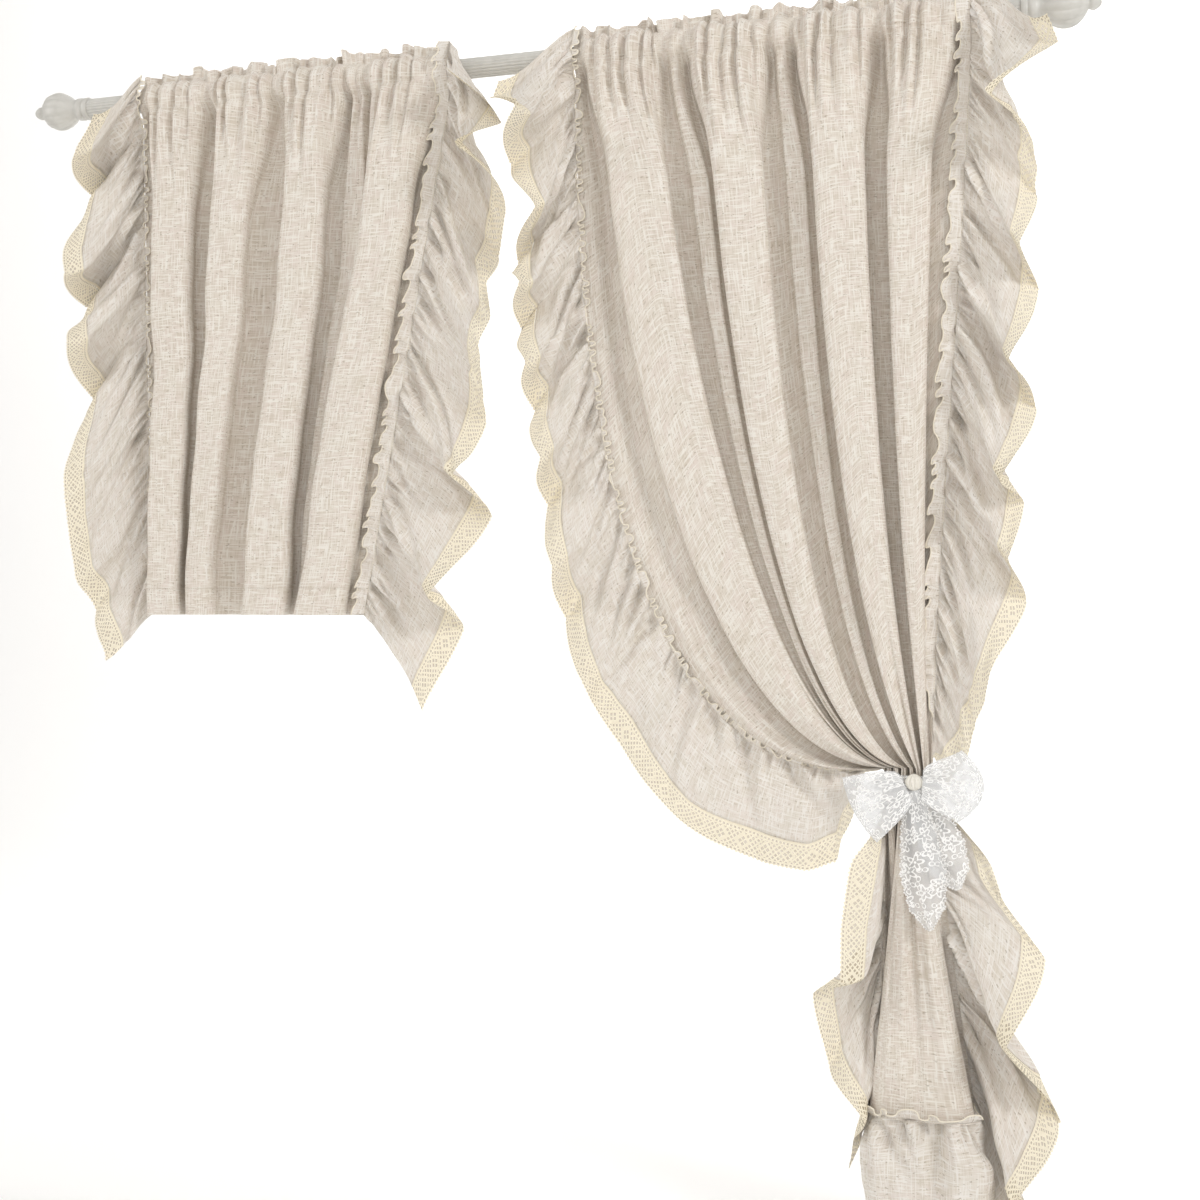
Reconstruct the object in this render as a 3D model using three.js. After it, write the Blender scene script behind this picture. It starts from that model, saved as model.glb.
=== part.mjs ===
// Pair of ruffled linen curtains gathered on one wooden rod:
// a short one, and a long one tied back with a lace bow.
// Millimetres, +Z up, +Y into the wall, origin on the rod's axis midway along it.
import * as THREE from "three";

// Driving dimensions
const CLOTH = 2;
const SEAT = 0.3;
const SEAM = 0.7;
const ROD = { length: 1540, radius: 16, sides: 24 };
const POCKET = { radius: 20, stitch: -36, heading: 45, gather: 4 };
const FOOT = { cloth: 143, full: 48, bulge: 0.16, taper: 0.2 };
const RUFFLE = { header: 15, cloth: 143, lace: 42, step: 26 };
const SHORT = { left: -664, right: -104, hemLeft: -646, hemRight: -254, hem: -860 };
const LONG = { left: 104, right: 702, foot: -1580 };
const TIE = { x: 612, z: -1078, half: 34, depth: 18 };
const BAND = {
  left: 566,
  right: 658,
  front: -19.3,
  back: 12.9,
  round: 12,
  top: -1088,
  height: 22,
  wall: 2,
};
const KNOT = { x: 624, z: -1096, radius: 12, depth: 11 };
const TAIL_X = 632;
const EDGE = { strip: 22, depth: -4 };

// Colours and finishes
const LINEN = { color: 0xd8cfc2, roughness: 0.95, metalness: 0 };
const LACE = { color: 0xf3ead2, roughness: 0.9, metalness: 0 };
const TULLE = { color: 0xf6f5f2, roughness: 0.8, metalness: 0 };
const PAINT = { color: 0xebe8e1, roughness: 0.45, metalness: 0 };

// Finial, from the rod outwards: distance along the axis, radius, and how deep its ribs are
const FINIAL = [
  { at: 0.3, radius: 18.5, rib: 0 },
  { at: 9, radius: 18.5, rib: 0 },
  { at: 11, radius: 16.5, rib: 0 },
  { at: 13, radius: 18.5, rib: 0 },
  { at: 23, radius: 18.5, rib: 0 },
  { at: 28, radius: 15.5, rib: 0.01 },
  { at: 38, radius: 23, rib: 0.05 },
  { at: 50, radius: 29.5, rib: 0.07 },
  { at: 62, radius: 31.5, rib: 0.07 },
  { at: 76, radius: 28, rib: 0.07 },
  { at: 88, radius: 17, rib: 0.04 },
  { at: 92, radius: 8.5, rib: 0 },
  { at: 98, radius: 10.5, rib: 0 },
  { at: 110, radius: 5, rib: 0 },
];

// Folds of the short panel: feet under the rod and at the hem, and the depth of the crown
const SHORT_FOLDS = [
  { left: -622, right: -549, hemLeft: -630, hemRight: -576, crown: -46 },
  { left: -502, right: -430, hemLeft: -564, hemRight: -523, crown: -44 },
  { left: -360, right: -292, hemLeft: -459, hemRight: -386, crown: -48 },
  { left: -263, right: -222, hemLeft: -380, hemRight: -366, crown: -12 },
  { left: -207, right: -129, hemLeft: -360, hemRight: -280, crown: -52 },
];

// Folds of the long panel: feet under the rod, crown, and both handles of the curve down to the tie
const LONG_FOLDS = [
  { left: 158, right: 241, crown: -44, lean: 37, fall: 450, pullX: -176, pullZ: 30 },
  { left: 276, right: 304, crown: -16, lean: 26, fall: 440, pullX: -170, pullZ: 28 },
  { left: 320, right: 397, crown: -50, lean: 16, fall: 440, pullX: -161, pullZ: 27 },
  { left: 426, right: 456, crown: -14, lean: 12, fall: 420, pullX: -110, pullZ: 120 },
  { left: 473, right: 549, crown: -48, lean: 10, fall: 400, pullX: -58, pullZ: 240 },
  { left: 586, right: 652, crown: -46, lean: -6, fall: 400, pullX: -18, pullZ: 240 },
];
const LONG_LEFT = { lean: -1, fall: 740, pullX: -292, pullZ: -62 };
const LONG_RIGHT = { lean: -14, fall: 340, pullX: 8, pullZ: 320 };

// Half of the tail's folded section at the foot, from the side edge to the middle of its front
const TAIL_HALF = [
  { x: -70, y: 50 },
  { x: -32, y: 49 },
  { x: -12, y: 35 },
  { x: -30, y: 20 },
  { x: -60, y: 14 },
  { x: -76, y: -8 },
  { x: -58, y: -28 },
  { x: 0, y: -33 },
];

// Ruffles down their seams: swing towards the room, curl on to the edge, droop at seam and edge, reach.
// The short curtain's are measured from the heading, the long one's from the tie.
const SHORT_LEFT_FLUTES = [
  { at: 0, swing: 0.9, curl: 0.3, droop: 0.7, sag: 1, reach: 0.5 },
  { at: 40, swing: 0.8, curl: 0.2, droop: 0.75, sag: 1.1, reach: 0.76 },
  { at: 92, swing: -0.2, curl: -0.5, droop: 0.65, sag: 1, reach: 0.9 },
  { at: 120, swing: 0.6, curl: -1.2, droop: 0.65, sag: 1, reach: 0.8 },
  { at: 185, swing: 0.9, curl: -0.6, droop: 0.7, sag: 1.05, reach: 0.92 },
  { at: 220, swing: 0.8, curl: 0, droop: 0.7, sag: 1.05, reach: 0.93 },
  { at: 262, swing: -0.1, curl: -0.4, droop: 0.65, sag: 1, reach: 1 },
  { at: 290, swing: 0.6, curl: -1.2, droop: 0.65, sag: 1, reach: 0.86 },
  { at: 345, swing: 0.9, curl: -0.3, droop: 0.65, sag: 1, reach: 0.86 },
  { at: 420, swing: -0.1, curl: -0.3, droop: 0.65, sag: 1, reach: 0.98 },
  { at: 455, swing: 0.6, curl: -1.2, droop: 0.65, sag: 1, reach: 0.86 },
  { at: 560, swing: 0.9, curl: -0.6, droop: 0.65, sag: 1, reach: 0.92 },
  { at: 620, swing: 0.6, curl: 0, droop: 0.65, sag: 1.05, reach: 0.95 },
  { at: 720, swing: 0.4, curl: 0.1, droop: 0.65, sag: 1.05, reach: 0.92 },
  { at: 790, swing: 0.1, curl: 0, droop: 0.65, sag: 1.05, reach: 0.8 },
  { at: 900, swing: 0.5, curl: 0.4, droop: 0.6, sag: 1, reach: 0.45 },
];
const SHORT_RIGHT_FLUTES = [
  { at: 0, swing: 0.9, curl: 0.4, droop: 0.5, sag: 0.8, reach: 0.6 },
  { at: 32, swing: 0, curl: 0.3, droop: 0.7, sag: 1, reach: 0.82 },
  { at: 78, swing: 0.65, curl: 0.7, droop: 0.65, sag: 0.95, reach: 0.92 },
  { at: 140, swing: -0.4, curl: 0.2, droop: 0.85, sag: 1.15, reach: 0.89 },
  { at: 215, swing: -0.5, curl: 0.2, droop: 0.8, sag: 1.15, reach: 0.86 },
  { at: 252, swing: -0.1, curl: 0.3, droop: 0.85, sag: 1.15, reach: 0.91 },
  { at: 300, swing: 0.1, curl: 0.3, droop: 0.75, sag: 1.02, reach: 1.07 },
  { at: 350, swing: 0.2, curl: 0.3, droop: 0.74, sag: 1, reach: 1.06 },
  { at: 420, swing: 0.05, curl: 0.3, droop: 0.66, sag: 0.95, reach: 1 },
  { at: 500, swing: -0.2, curl: 0.3, droop: 0.58, sag: 0.85, reach: 0.94 },
  { at: 590, swing: 0.2, curl: 0.6, droop: 0.52, sag: 0.8, reach: 1.02 },
  { at: 640, swing: -0.3, curl: 0.3, droop: 0.5, sag: 0.8, reach: 1.08 },
  { at: 760, swing: 0.2, curl: 0.7, droop: 0.6, sag: 0.88, reach: 1.05 },
  { at: 812, swing: -0.3, curl: 0.3, droop: 0.62, sag: 0.9, reach: 1.05 },
  { at: 925, swing: -0.1, curl: 0.4, droop: 0.82, sag: 1.12, reach: 1 },
];
const LONG_LEFT_FLUTES = [
  { at: -1400, swing: 0.5, curl: 0.2, droop: 0.5, sag: 0.75, reach: 0.6 },
  { at: -1355, swing: 0.3, curl: 0.2, droop: 0.5, sag: 0.88, reach: 0.86 },
  { at: -1300, swing: 1.1, curl: 0.4, droop: 0.4, sag: 0.75, reach: 0.82 },
  { at: -1245, swing: 0.1, curl: 0.2, droop: 0.55, sag: 0.9, reach: 0.68 },
  { at: -1185, swing: 1, curl: 0.4, droop: 0.8, sag: 1.13, reach: 0.72 },
  { at: -1120, swing: 0, curl: 0.2, droop: 0.72, sag: 1.04, reach: 0.78 },
  { at: -1065, swing: 0.7, curl: 0.5, droop: 0.62, sag: 0.97, reach: 0.78 },
  { at: -1010, swing: -0.1, curl: 0.2, droop: 0.64, sag: 0.98, reach: 0.76 },
  { at: -940, swing: 0.6, curl: 0.5, droop: 0.6, sag: 0.95, reach: 0.72 },
  { at: -880, swing: 0, curl: -0.2, droop: 0.65, sag: 1, reach: 0.71 },
  { at: -800, swing: 0.6, curl: 0.5, droop: 0.65, sag: 1, reach: 0.7 },
  { at: -730, swing: 0, curl: -0.2, droop: 0.65, sag: 1, reach: 0.72 },
  { at: -640, swing: 0.5, curl: 0.4, droop: 0.65, sag: 1, reach: 0.77 },
  { at: -560, swing: 0, curl: -0.1, droop: 0.65, sag: 1, reach: 0.83 },
  { at: -470, swing: 0.45, curl: 0.3, droop: 0.65, sag: 1.05, reach: 0.84 },
  { at: -370, swing: 0.1, curl: 0.1, droop: 0.75, sag: 1.15, reach: 0.84 },
  { at: -260, swing: 0.4, curl: 0.3, droop: 1, sag: 1.35, reach: 0.88 },
  { at: -160, swing: 0.1, curl: 0.2, droop: 1.25, sag: 1.5, reach: 0.85 },
  { at: -100, swing: 0.3, curl: 0.2, droop: 1.38, sag: 1.58, reach: 0.8 },
  { at: -62, swing: 0.1, curl: 0.2, droop: 1.4, sag: 1.6, reach: 0.68 },
  { at: -46, swing: 0.1, curl: 0.2, droop: 1.3, sag: 1.5, reach: 0.4 },
  { at: -29, swing: 0.1, curl: 0.2, droop: 1.3, sag: 1.5, reach: 0.02 },
  { at: -10, swing: 0.1, curl: 0.2, droop: 1.2, sag: 1.4, reach: 0.02 },
  { at: 0, swing: 0.1, curl: 0.2, droop: 1.1, sag: 1.3, reach: 0.02 },
  { at: 10, swing: 0, curl: 0.2, droop: 1, sag: 1.2, reach: 0.02 },
  { at: 36, swing: 1.2, curl: -1.2, droop: 0.9, sag: 0.5, reach: 0.03 },
  { at: 70, swing: 2, curl: -2.2, droop: 1, sag: 0.3, reach: 0.06 },
  { at: 115, swing: 2.1, curl: -2.3, droop: 1, sag: 0.2, reach: 0.22 },
  { at: 150, swing: 2.1, curl: -2.3, droop: 1.05, sag: 0.4, reach: 0.5 },
  { at: 195, swing: 2.1, curl: -2.3, droop: 1.1, sag: 0.6, reach: 0.64 },
  { at: 235, swing: 0.3, curl: -0.2, droop: 0.65, sag: 0.92, reach: 0.74 },
  { at: 300, swing: 0.1, curl: 0.1, droop: 1, sag: 1.2, reach: 0.9 },
  { at: 375, swing: 1.1, curl: 0.4, droop: 1.2, sag: 1.38, reach: 0.7 },
  { at: 430, swing: 0.2, curl: 0.2, droop: 1.2, sag: 1.36, reach: 0.7 },
  { at: 510, swing: 0.3, curl: 0.3, droop: 1, sag: 1.2, reach: 0.45 },
];
const LONG_RIGHT_FLUTES = [
  { at: -1160, swing: 0.6, curl: 0.3, droop: 0.3, sag: 0.7, reach: 0.8 },
  { at: -1105, swing: 0.3, curl: 0.4, droop: 0.4, sag: 0.8, reach: 0.95 },
  { at: -1055, swing: 0.7, curl: 1.1, droop: 0.65, sag: 1, reach: 0.88 },
  { at: -1000, swing: 0.1, curl: 0.5, droop: 0.7, sag: 1.05, reach: 0.8 },
  { at: -930, swing: -0.1, curl: 0.3, droop: 0.7, sag: 1.05, reach: 0.82 },
  { at: -870, swing: 0.35, curl: 0.5, droop: 0.75, sag: 1.1, reach: 0.9 },
  { at: -810, swing: -0.1, curl: 0.3, droop: 0.7, sag: 1.05, reach: 0.9 },
  { at: -720, swing: 0.4, curl: 0.7, droop: 0.75, sag: 1.1, reach: 0.98 },
  { at: -650, swing: -0.1, curl: 0.3, droop: 0.7, sag: 1.05, reach: 0.96 },
  { at: -560, swing: 0.45, curl: 0.7, droop: 0.75, sag: 1.1, reach: 1 },
  { at: -510, swing: 0, curl: 0.4, droop: 0.7, sag: 1.05, reach: 0.92 },
  { at: -450, swing: 0.3, curl: 0.5, droop: 0.75, sag: 1.1, reach: 1 },
  { at: -395, swing: -0.1, curl: 0.3, droop: 0.75, sag: 1.1, reach: 1.04 },
  { at: -280, swing: 0.3, curl: 0.4, droop: 0.85, sag: 1.2, reach: 0.9 },
  { at: -140, swing: 0.1, curl: 0.2, droop: 1, sag: 1.3, reach: 0.6 },
  { at: -60, swing: 0, curl: 0.1, droop: 1.1, sag: 1.3, reach: 0.28 },
  { at: -24, swing: 0, curl: 0.1, droop: 1.2, sag: 1.4, reach: 0.03 },
  { at: -10, swing: 0, curl: 0.1, droop: 1.1, sag: 1.3, reach: 0.03 },
  { at: 0, swing: 0, curl: 0.2, droop: 0.9, sag: 1.1, reach: 0.03 },
  { at: 10, swing: 0, curl: 0.2, droop: 0.7, sag: 1, reach: 0.03 },
  { at: 38, swing: 0, curl: 0.3, droop: 0.5, sag: 0.8, reach: 0.04 },
  { at: 62, swing: -0.2, curl: 0.2, droop: 0.6, sag: 0.9, reach: 0.5 },
  { at: 110, swing: -0.2, curl: 0.3, droop: 0.5, sag: 0.8, reach: 0.52 },
  { at: 165, swing: -0.15, curl: 0.3, droop: 0.48, sag: 0.75, reach: 0.95 },
  { at: 240, swing: 0.5, curl: 0.6, droop: 0.65, sag: 0.96, reach: 0.98 },
  { at: 330, swing: -0.25, curl: 0.3, droop: 0.75, sag: 1.06, reach: 1.25 },
  { at: 415, swing: 0.5, curl: 0.6, droop: 0.9, sag: 1.19, reach: 1.15 },
  { at: 470, swing: 0.1, curl: 0.4, droop: 0.95, sag: 1.25, reach: 1.12 },
  { at: 515, swing: 0.8, curl: 0.4, droop: 1.3, sag: 1.5, reach: 1 },
];

// Free ends of the bow: share of the length, width
const BOW_END = [
  { at: 0, width: 18 },
  { at: 0.25, width: 48 },
  { at: 0.6, width: 66 },
  { at: 0.85, width: 50 },
  { at: 1, width: 8 },
];

const group = new THREE.Group();
const mix = (a, b, t) => a + (b - a) * t;
const clamp = (t) => Math.min(1, Math.max(0, t));
const ease = (t) => clamp(t) * clamp(t) * (3 - 2 * clamp(t));

function add(name, geometry, finish) {
  const mesh = new THREE.Mesh(geometry, new THREE.MeshStandardMaterial(finish));
  mesh.name = name;
  group.add(mesh);
}

// A table's row between its rows, each column eased from one row to the next
function between(table, at) {
  const last = table.findIndex((row) => row.at >= at);
  if (last < 0) return table[table.length - 1];
  if (last === 0) return table[0];
  const [a, b] = [table[last - 1], table[last]];
  const t = ease((at - a.at) / (b.at - a.at));
  return Object.fromEntries(Object.keys(a).map((key) => [key, mix(a[key], b[key], t)]));
}

// A closed solid from its triangles, turned to face out
function solid(points, faces) {
  let volume = 0;
  for (const [a, b, c] of faces) {
    volume += points[a].dot(points[b].clone().cross(points[c]));
  }
  const index = faces.flatMap(([a, b, c]) => (volume > 0 ? [a, b, c] : [a, c, b]));
  return new THREE.BufferGeometry().setFromPoints(points).setIndex(index);
}

// Unit normals of a grid of points
function normalsOf(grid) {
  const step = (list, k) => [list[Math.max(k - 1, 0)], list[Math.min(k + 1, list.length - 1)]];
  return grid.map((row, i) =>
    row.map((_, j) => {
      const [above, below] = step(grid, i);
      const [left, right] = step(row, j);
      const down = below[j].clone().sub(above[j]);
      return down.cross(right.clone().sub(left)).normalize();
    }),
  );
}

// A grid of points on a cloth's middle surface, thickened to a closed sheet
function sheet(grid, normals = normalsOf(grid), thickness = () => CLOTH) {
  const rows = grid.length;
  const columns = grid[0].length;
  const points = [];
  for (const side of [0.5, -0.5]) {
    grid.forEach((row, i) =>
      row.forEach((p, j) => points.push(p.clone().addScaledVector(normals[i][j], side * thickness(p)))),
    );
  }
  const half = rows * columns;
  const faces = [];
  const quad = (a, b, c, d) => faces.push([a, b, c], [a, c, d]);
  for (let i = 0; i + 1 < rows; i++) {
    for (let j = 0; j + 1 < columns; j++) {
      const a = i * columns + j;
      quad(a, a + columns, a + columns + 1, a + 1);
      quad(half + a, half + a + 1, half + a + columns + 1, half + a + columns);
    }
  }
  const rim = [];
  for (let j = 0; j + 1 < columns; j++) rim.push(j);
  for (let i = 0; i + 1 < rows; i++) rim.push(i * columns + columns - 1);
  for (let j = columns - 1; j > 0; j--) rim.push((rows - 1) * columns + j);
  for (let i = rows - 1; i > 0; i--) rim.push(i * columns);
  rim.forEach((a, k) => {
    const b = rim[(k + 1) % rim.length];
    if (a < b) quad(a, b, half + b, half + a);
    else faces.push([a, b, half + a], [b, half + b, half + a]);
  });
  return solid(points, faces);
}

// A piece turned about the X axis from rings of a profile, ribbed where the profile says so
function turned(profile, sides, direction, start) {
  const points = [];
  const faces = [];
  for (const { at, radius, rib } of profile) {
    for (let k = 0; k < sides; k++) {
      const turn = ((k + 0.5) / sides) * 2 * Math.PI;
      const r = radius * (1 - rib * (k % 2));
      points.push(new THREE.Vector3(start + direction * at, r * Math.cos(turn), r * Math.sin(turn)));
    }
  }
  for (let i = 0; i + 1 < profile.length; i++) {
    for (let k = 0; k < sides; k++) {
      const a = i * sides + k;
      const b = i * sides + ((k + 1) % sides);
      faces.push([a, b, b + sides], [a, b + sides, a + sides]);
    }
  }
  const top = (profile.length - 1) * sides;
  for (let k = 1; k + 1 < sides; k++) {
    faces.push([0, k + 1, k], [top, top + k, top + k + 1]);
  }
  return solid(points, faces);
}

// Points across a panel: two on each edge strip, five on each fold and one in each valley
function acrossPanel(folds, left, right, leftKey, rightKey) {
  const line = [{ x: left, depth: EDGE.depth }, { x: left + EDGE.strip, depth: EDGE.depth }];
  folds.forEach((fold, k) => {
    const [a, b] = [fold[leftKey], fold[rightKey]];
    const before = k ? folds[k - 1][rightKey] : left + EDGE.strip;
    line.push({ x: (before + a) / 2, depth: 6 });
    for (const [t, share] of [[0, 0], [0.1, 0.65], [0.5, 1], [0.9, 0.65], [1, 0]]) {
      line.push({ x: mix(a, b, t), depth: share * fold.crown });
    }
  });
  line.push({ x: (folds[folds.length - 1][rightKey] + right - EDGE.strip) / 2, depth: 6 });
  line.push({ x: right - EDGE.strip, depth: EDGE.depth }, { x: right, depth: EDGE.depth });
  return line;
}

// The rod pocket and heading of one panel, from the back's stitching over the top to the front's
function pocketRows(line) {
  const r = POCKET.radius;
  const ring = [
    { y: EDGE.depth + 3.2, z: POCKET.stitch, out: 0 },
    { y: r, z: 0, out: 1 },
    { y: r / 2, z: r * 0.866, out: 1 },
    { y: 1.9, z: 27, out: 0 },
    { y: 0, z: POCKET.heading, out: 0 },
    { y: -1.9, z: 27, out: 0 },
    { y: -r / 2, z: r * 0.866, out: 1 },
    { y: -r, z: 0, out: 1 },
  ];
  return ring.map(({ y, z, out }) =>
    line.map(({ x }, j) => {
      const inside = j > 1 && j < line.length - 2;
      const bulge = inside ? POCKET.gather * (j % 2) : 0;
      const away = (out * bulge) / Math.hypot(y, z);
      const ruck = inside && z > r ? (j % 2 ? 3 : -3) : 0;
      return new THREE.Vector3(x, y + away * y + ruck, z + away * z + ruck * 0.6);
    }),
  );
}

// How far the folds below the stitching have opened, and the gathers still left
const opened = (drop) => mix(0.45, 1, ease(drop / 150));
const gathered = (drop, j) => (j % 2 ? -3 : 1) * (1 - ease(drop / 150));
const foldDepth = (depth, drop, j) => mix(EDGE.depth, depth, opened(drop)) + gathered(drop, j);

// The short panel hangs straight from its pocket to a plain hem
function shortPanel() {
  const top = acrossPanel(SHORT_FOLDS, SHORT.left, SHORT.right, "left", "right");
  const hem = acrossPanel(SHORT_FOLDS, SHORT.hemLeft, SHORT.hemRight, "hemLeft", "hemRight");
  const rows = pocketRows(top);
  for (const t of [0, 0.06, 0.14, 0.25, 0.4, 0.6, 0.8, 1]) {
    const drop = t * (POCKET.stitch - SHORT.hem);
    rows.push(
      top.map((p, j) => {
        const flat = j < 2 || j > top.length - 3;
        const depth = flat ? p.depth : foldDepth(p.depth, drop, j);
        return new THREE.Vector3(mix(p.x, hem[j].x, t), depth, POCKET.stitch - drop);
      }),
    );
  }
  return rows;
}

// Handles of the curve that each line of the long panel follows, from its own place under the rod
function handlesAt(x) {
  const stations = [
    { at: LONG.left, ...LONG_LEFT },
    ...LONG_FOLDS.map(({ left, right, lean, fall, pullX, pullZ }) => {
      return { at: (left + right) / 2, lean, fall, pullX, pullZ };
    }),
    { at: LONG.right, ...LONG_RIGHT },
  ];
  return between(stations, x);
}

// The folded tail section, both halves, as one curve
const TAIL = new THREE.CatmullRomCurve3(
  [...TAIL_HALF, ...TAIL_HALF.slice(0, -1).reverse().map(({ x, y }) => ({ x: -x, y }))].map(
    ({ x, y }) => new THREE.Vector3(TAIL_X + x, y, LONG.foot),
  ),
);

// The long panel sweeps from its pocket to the tie, then fans out into a folded tail
function longPanel() {
  const top = acrossPanel(LONG_FOLDS, LONG.left, LONG.right, "left", "right");
  const count = top.length - 1;
  const waist = top.map((p, j) => ({
    x: TIE.x + TIE.half * ((2 * j) / count - 1),
    y: p.depth < EDGE.depth ? -TIE.depth : p.depth > EDGE.depth ? TIE.depth * 0.6 : EDGE.depth,
  }));
  const rows = pocketRows(top);
  for (const t of [0, 0.06, 0.14, 0.26, 0.4, 0.54, 0.68, 0.8, 0.9, 0.96, 1]) {
    rows.push(
      top.map((p, j) => {
        const { lean, fall, pullX, pullZ } = handlesAt(p.x);
        const curve = new THREE.CubicBezierCurve(
          new THREE.Vector2(p.x, POCKET.stitch),
          new THREE.Vector2(p.x + lean, POCKET.stitch - fall),
          new THREE.Vector2(waist[j].x + pullX, TIE.z + pullZ),
          new THREE.Vector2(waist[j].x, TIE.z),
        );
        const place = curve.getPoint(t);
        const drop = POCKET.stitch - place.y;
        const flat = j < 2 || j > count - 2;
        const depth = flat ? p.depth : foldDepth(p.depth, drop, j);
        return new THREE.Vector3(place.x, mix(depth, waist[j].y, ease((t - 0.55) / 0.45)), place.y);
      }),
    );
  }
  for (const t of [0.03, 0.08, 0.2, 0.36, 0.56, 0.78, 1]) {
    rows.push(
      waist.map(({ x, y }, j) => {
        const end = TAIL.getPoint(j / count);
        const spread = t ** 1.2;
        return new THREE.Vector3(mix(x, end.x, spread), mix(y, end.y, spread), mix(TIE.z, LONG.foot, t));
      }),
    );
  }
  return rows;
}

// The cloth is pressed thinner where the tie gathers it
const nearTie = (p) => mix(1.2, CLOTH, ease(Math.abs(p.z - TIE.z) / 120));

// Where the tie turns it, the seam passes a little under the first fold
const atTie = (p) => 3 * (1 - ease(Math.abs(p.z - TIE.z) / 12));

// The line a ruffle is sewn along: in front of the pocket, then down a panel's edge
function seamOf(rows, column) {
  const stand = CLOTH + SEAM;
  const over = [
    { y: -10, z: POCKET.heading - 2 },
    { y: -15, z: 26 },
    { y: -21.5, z: 14 },
    { y: -POCKET.radius - stand - 1, z: 0 },
    { y: -POCKET.radius - stand + 2.5, z: -14 },
    { y: EDGE.depth - stand - 8, z: -27 },
  ];
  const x = rows[0][column].x;
  const front = rows.slice(8).map((row) => row[column]);
  const points = [
    ...over.map(({ y, z }) => new THREE.Vector3(x, y, z)),
    ...front.map((p, k) => new THREE.Vector3(p.x, p.y - stand - (k ? 0 : 2), p.z - atTie(p))),
  ];
  return new THREE.CatmullRomCurve3(points, false, "catmullrom", 0.3);
}

const cut = (grid, from, to) => grid.map((row) => row.slice(from, to));

// Places along a seam: every row of its flute table, and even steps between the rows
function stations(table, from, to) {
  const rows = [from, ...table.map(({ at }) => at).filter((at) => at > from + 8 && at < to - 8), to];
  const places = [from];
  for (let k = 1; k < rows.length; k++) {
    const step = rows[k] < from + 90 ? RUFFLE.step / 2 : RUFFLE.step;
    const steps = Math.ceil((rows[k] - rows[k - 1]) / step);
    for (let n = 1; n <= steps; n++) places.push(mix(rows[k - 1], rows[k], n / steps));
  }
  return places;
}

// A ruffle on its seam: the strip from the frill to the lace, and the lace on from it.
// Beside the tie the cloth is drawn in, while the lace keeps its width.
function ruffle(name, seam, side, flutes, origin, frillEnd) {
  const length = seam.getLength();
  const width = RUFFLE.cloth + RUFFLE.lace;
  const strip = [];
  stations(flutes, -origin, length - origin).forEach((at, i) => {
    const base = seam.getPointAt((at + origin) / length);
    const along = seam.getTangentAt((at + origin) / length);
    const { swing, curl, droop, sag, reach } = between(flutes, at);
    const laceReach = Math.max(reach, 0.85 * ease((reach - 0.02) / 0.22));
    const hung = (r) => {
      const turn = (Math.abs(curl) < 0.01 ? 0.01 : curl) / width;
      const out = (Math.sin(swing + turn * r) - Math.sin(swing)) / turn;
      const front = (Math.cos(swing) - Math.cos(swing + turn * r)) / turn;
      const fall = mix(droop, sag, r / width / 2);
      const y = -front * Math.cos(fall) - r * Math.sin(fall) * Math.sin(0.35 * swing);
      return new THREE.Vector3(side * out * Math.cos(fall), y, -r * Math.sin(fall));
    };
    const seamed = hung(RUFFLE.cloth);
    const place = (r) => base.clone().addScaledVector(hung(r), reach);
    const trimmed = (r) => {
      const on = hung(RUFFLE.cloth + r).sub(seamed).multiplyScalar(laceReach);
      return on.addScaledVector(seamed, reach).add(base);
    };
    const shown = clamp((frillEnd - at) / 200);
    const inward = new THREE.Vector3(side * along.z, 0, -side * along.x).normalize();
    const frill = base.clone().addScaledVector(inward, mix(2, RUFFLE.header, shown));
    frill.y -= i % 2 ? 6 * shown : 0.5;
    strip.push([
      frill,
      base,
      ...[0.33, 0.67, 1].map((t) => place(t * RUFFLE.cloth)),
      trimmed(SEAM / laceReach),
      trimmed(RUFFLE.lace + SEAM / laceReach),
    ]);
  });
  const normals = normalsOf(strip);
  normals.forEach((row) => row[5].copy(row[4]));
  add(name, sheet(cut(strip, 0, 5), cut(normals, 0, 5)), LINEN);
  add(name.replace("ruffle", "lace"), sheet(cut(strip, 5, 7), cut(normals, 5, 7)), LACE);
}

// Rod and finials
const pole = [0, ROD.length].map((at) => ({ at, radius: ROD.radius, rib: 0 }));
add("rod", turned(pole, ROD.sides, 1, -ROD.length / 2), PAINT);
add("finial_left", turned(FINIAL, ROD.sides, -1, -ROD.length / 2), PAINT);
add("finial_right", turned(FINIAL, ROD.sides, 1, ROD.length / 2), PAINT);

// Curtains
const shortRows = shortPanel();
const longRows = longPanel();
add("short_panel", sheet(shortRows), LINEN);
add("long_panel", sheet(longRows, undefined, nearTie), LINEN);
const last = (rows) => rows[0].length - 1;
ruffle("short_ruffle_left", seamOf(shortRows, 0), -1, SHORT_LEFT_FLUTES, 0, 2000);
ruffle("short_ruffle_right", seamOf(shortRows, last(shortRows)), 1, SHORT_RIGHT_FLUTES, 0, 2000);
const TAIL_LENGTH = Math.hypot(TIE.z - LONG.foot, 55);
const longLeft = seamOf(longRows, 0);
const longRight = seamOf(longRows, last(longRows));
ruffle("long_ruffle_left", longLeft, -1, LONG_LEFT_FLUTES, longLeft.getLength() - TAIL_LENGTH, -45);
ruffle("long_ruffle_right", longRight, 1, LONG_RIGHT_FLUTES, longRight.getLength() - TAIL_LENGTH, -45);

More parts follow.
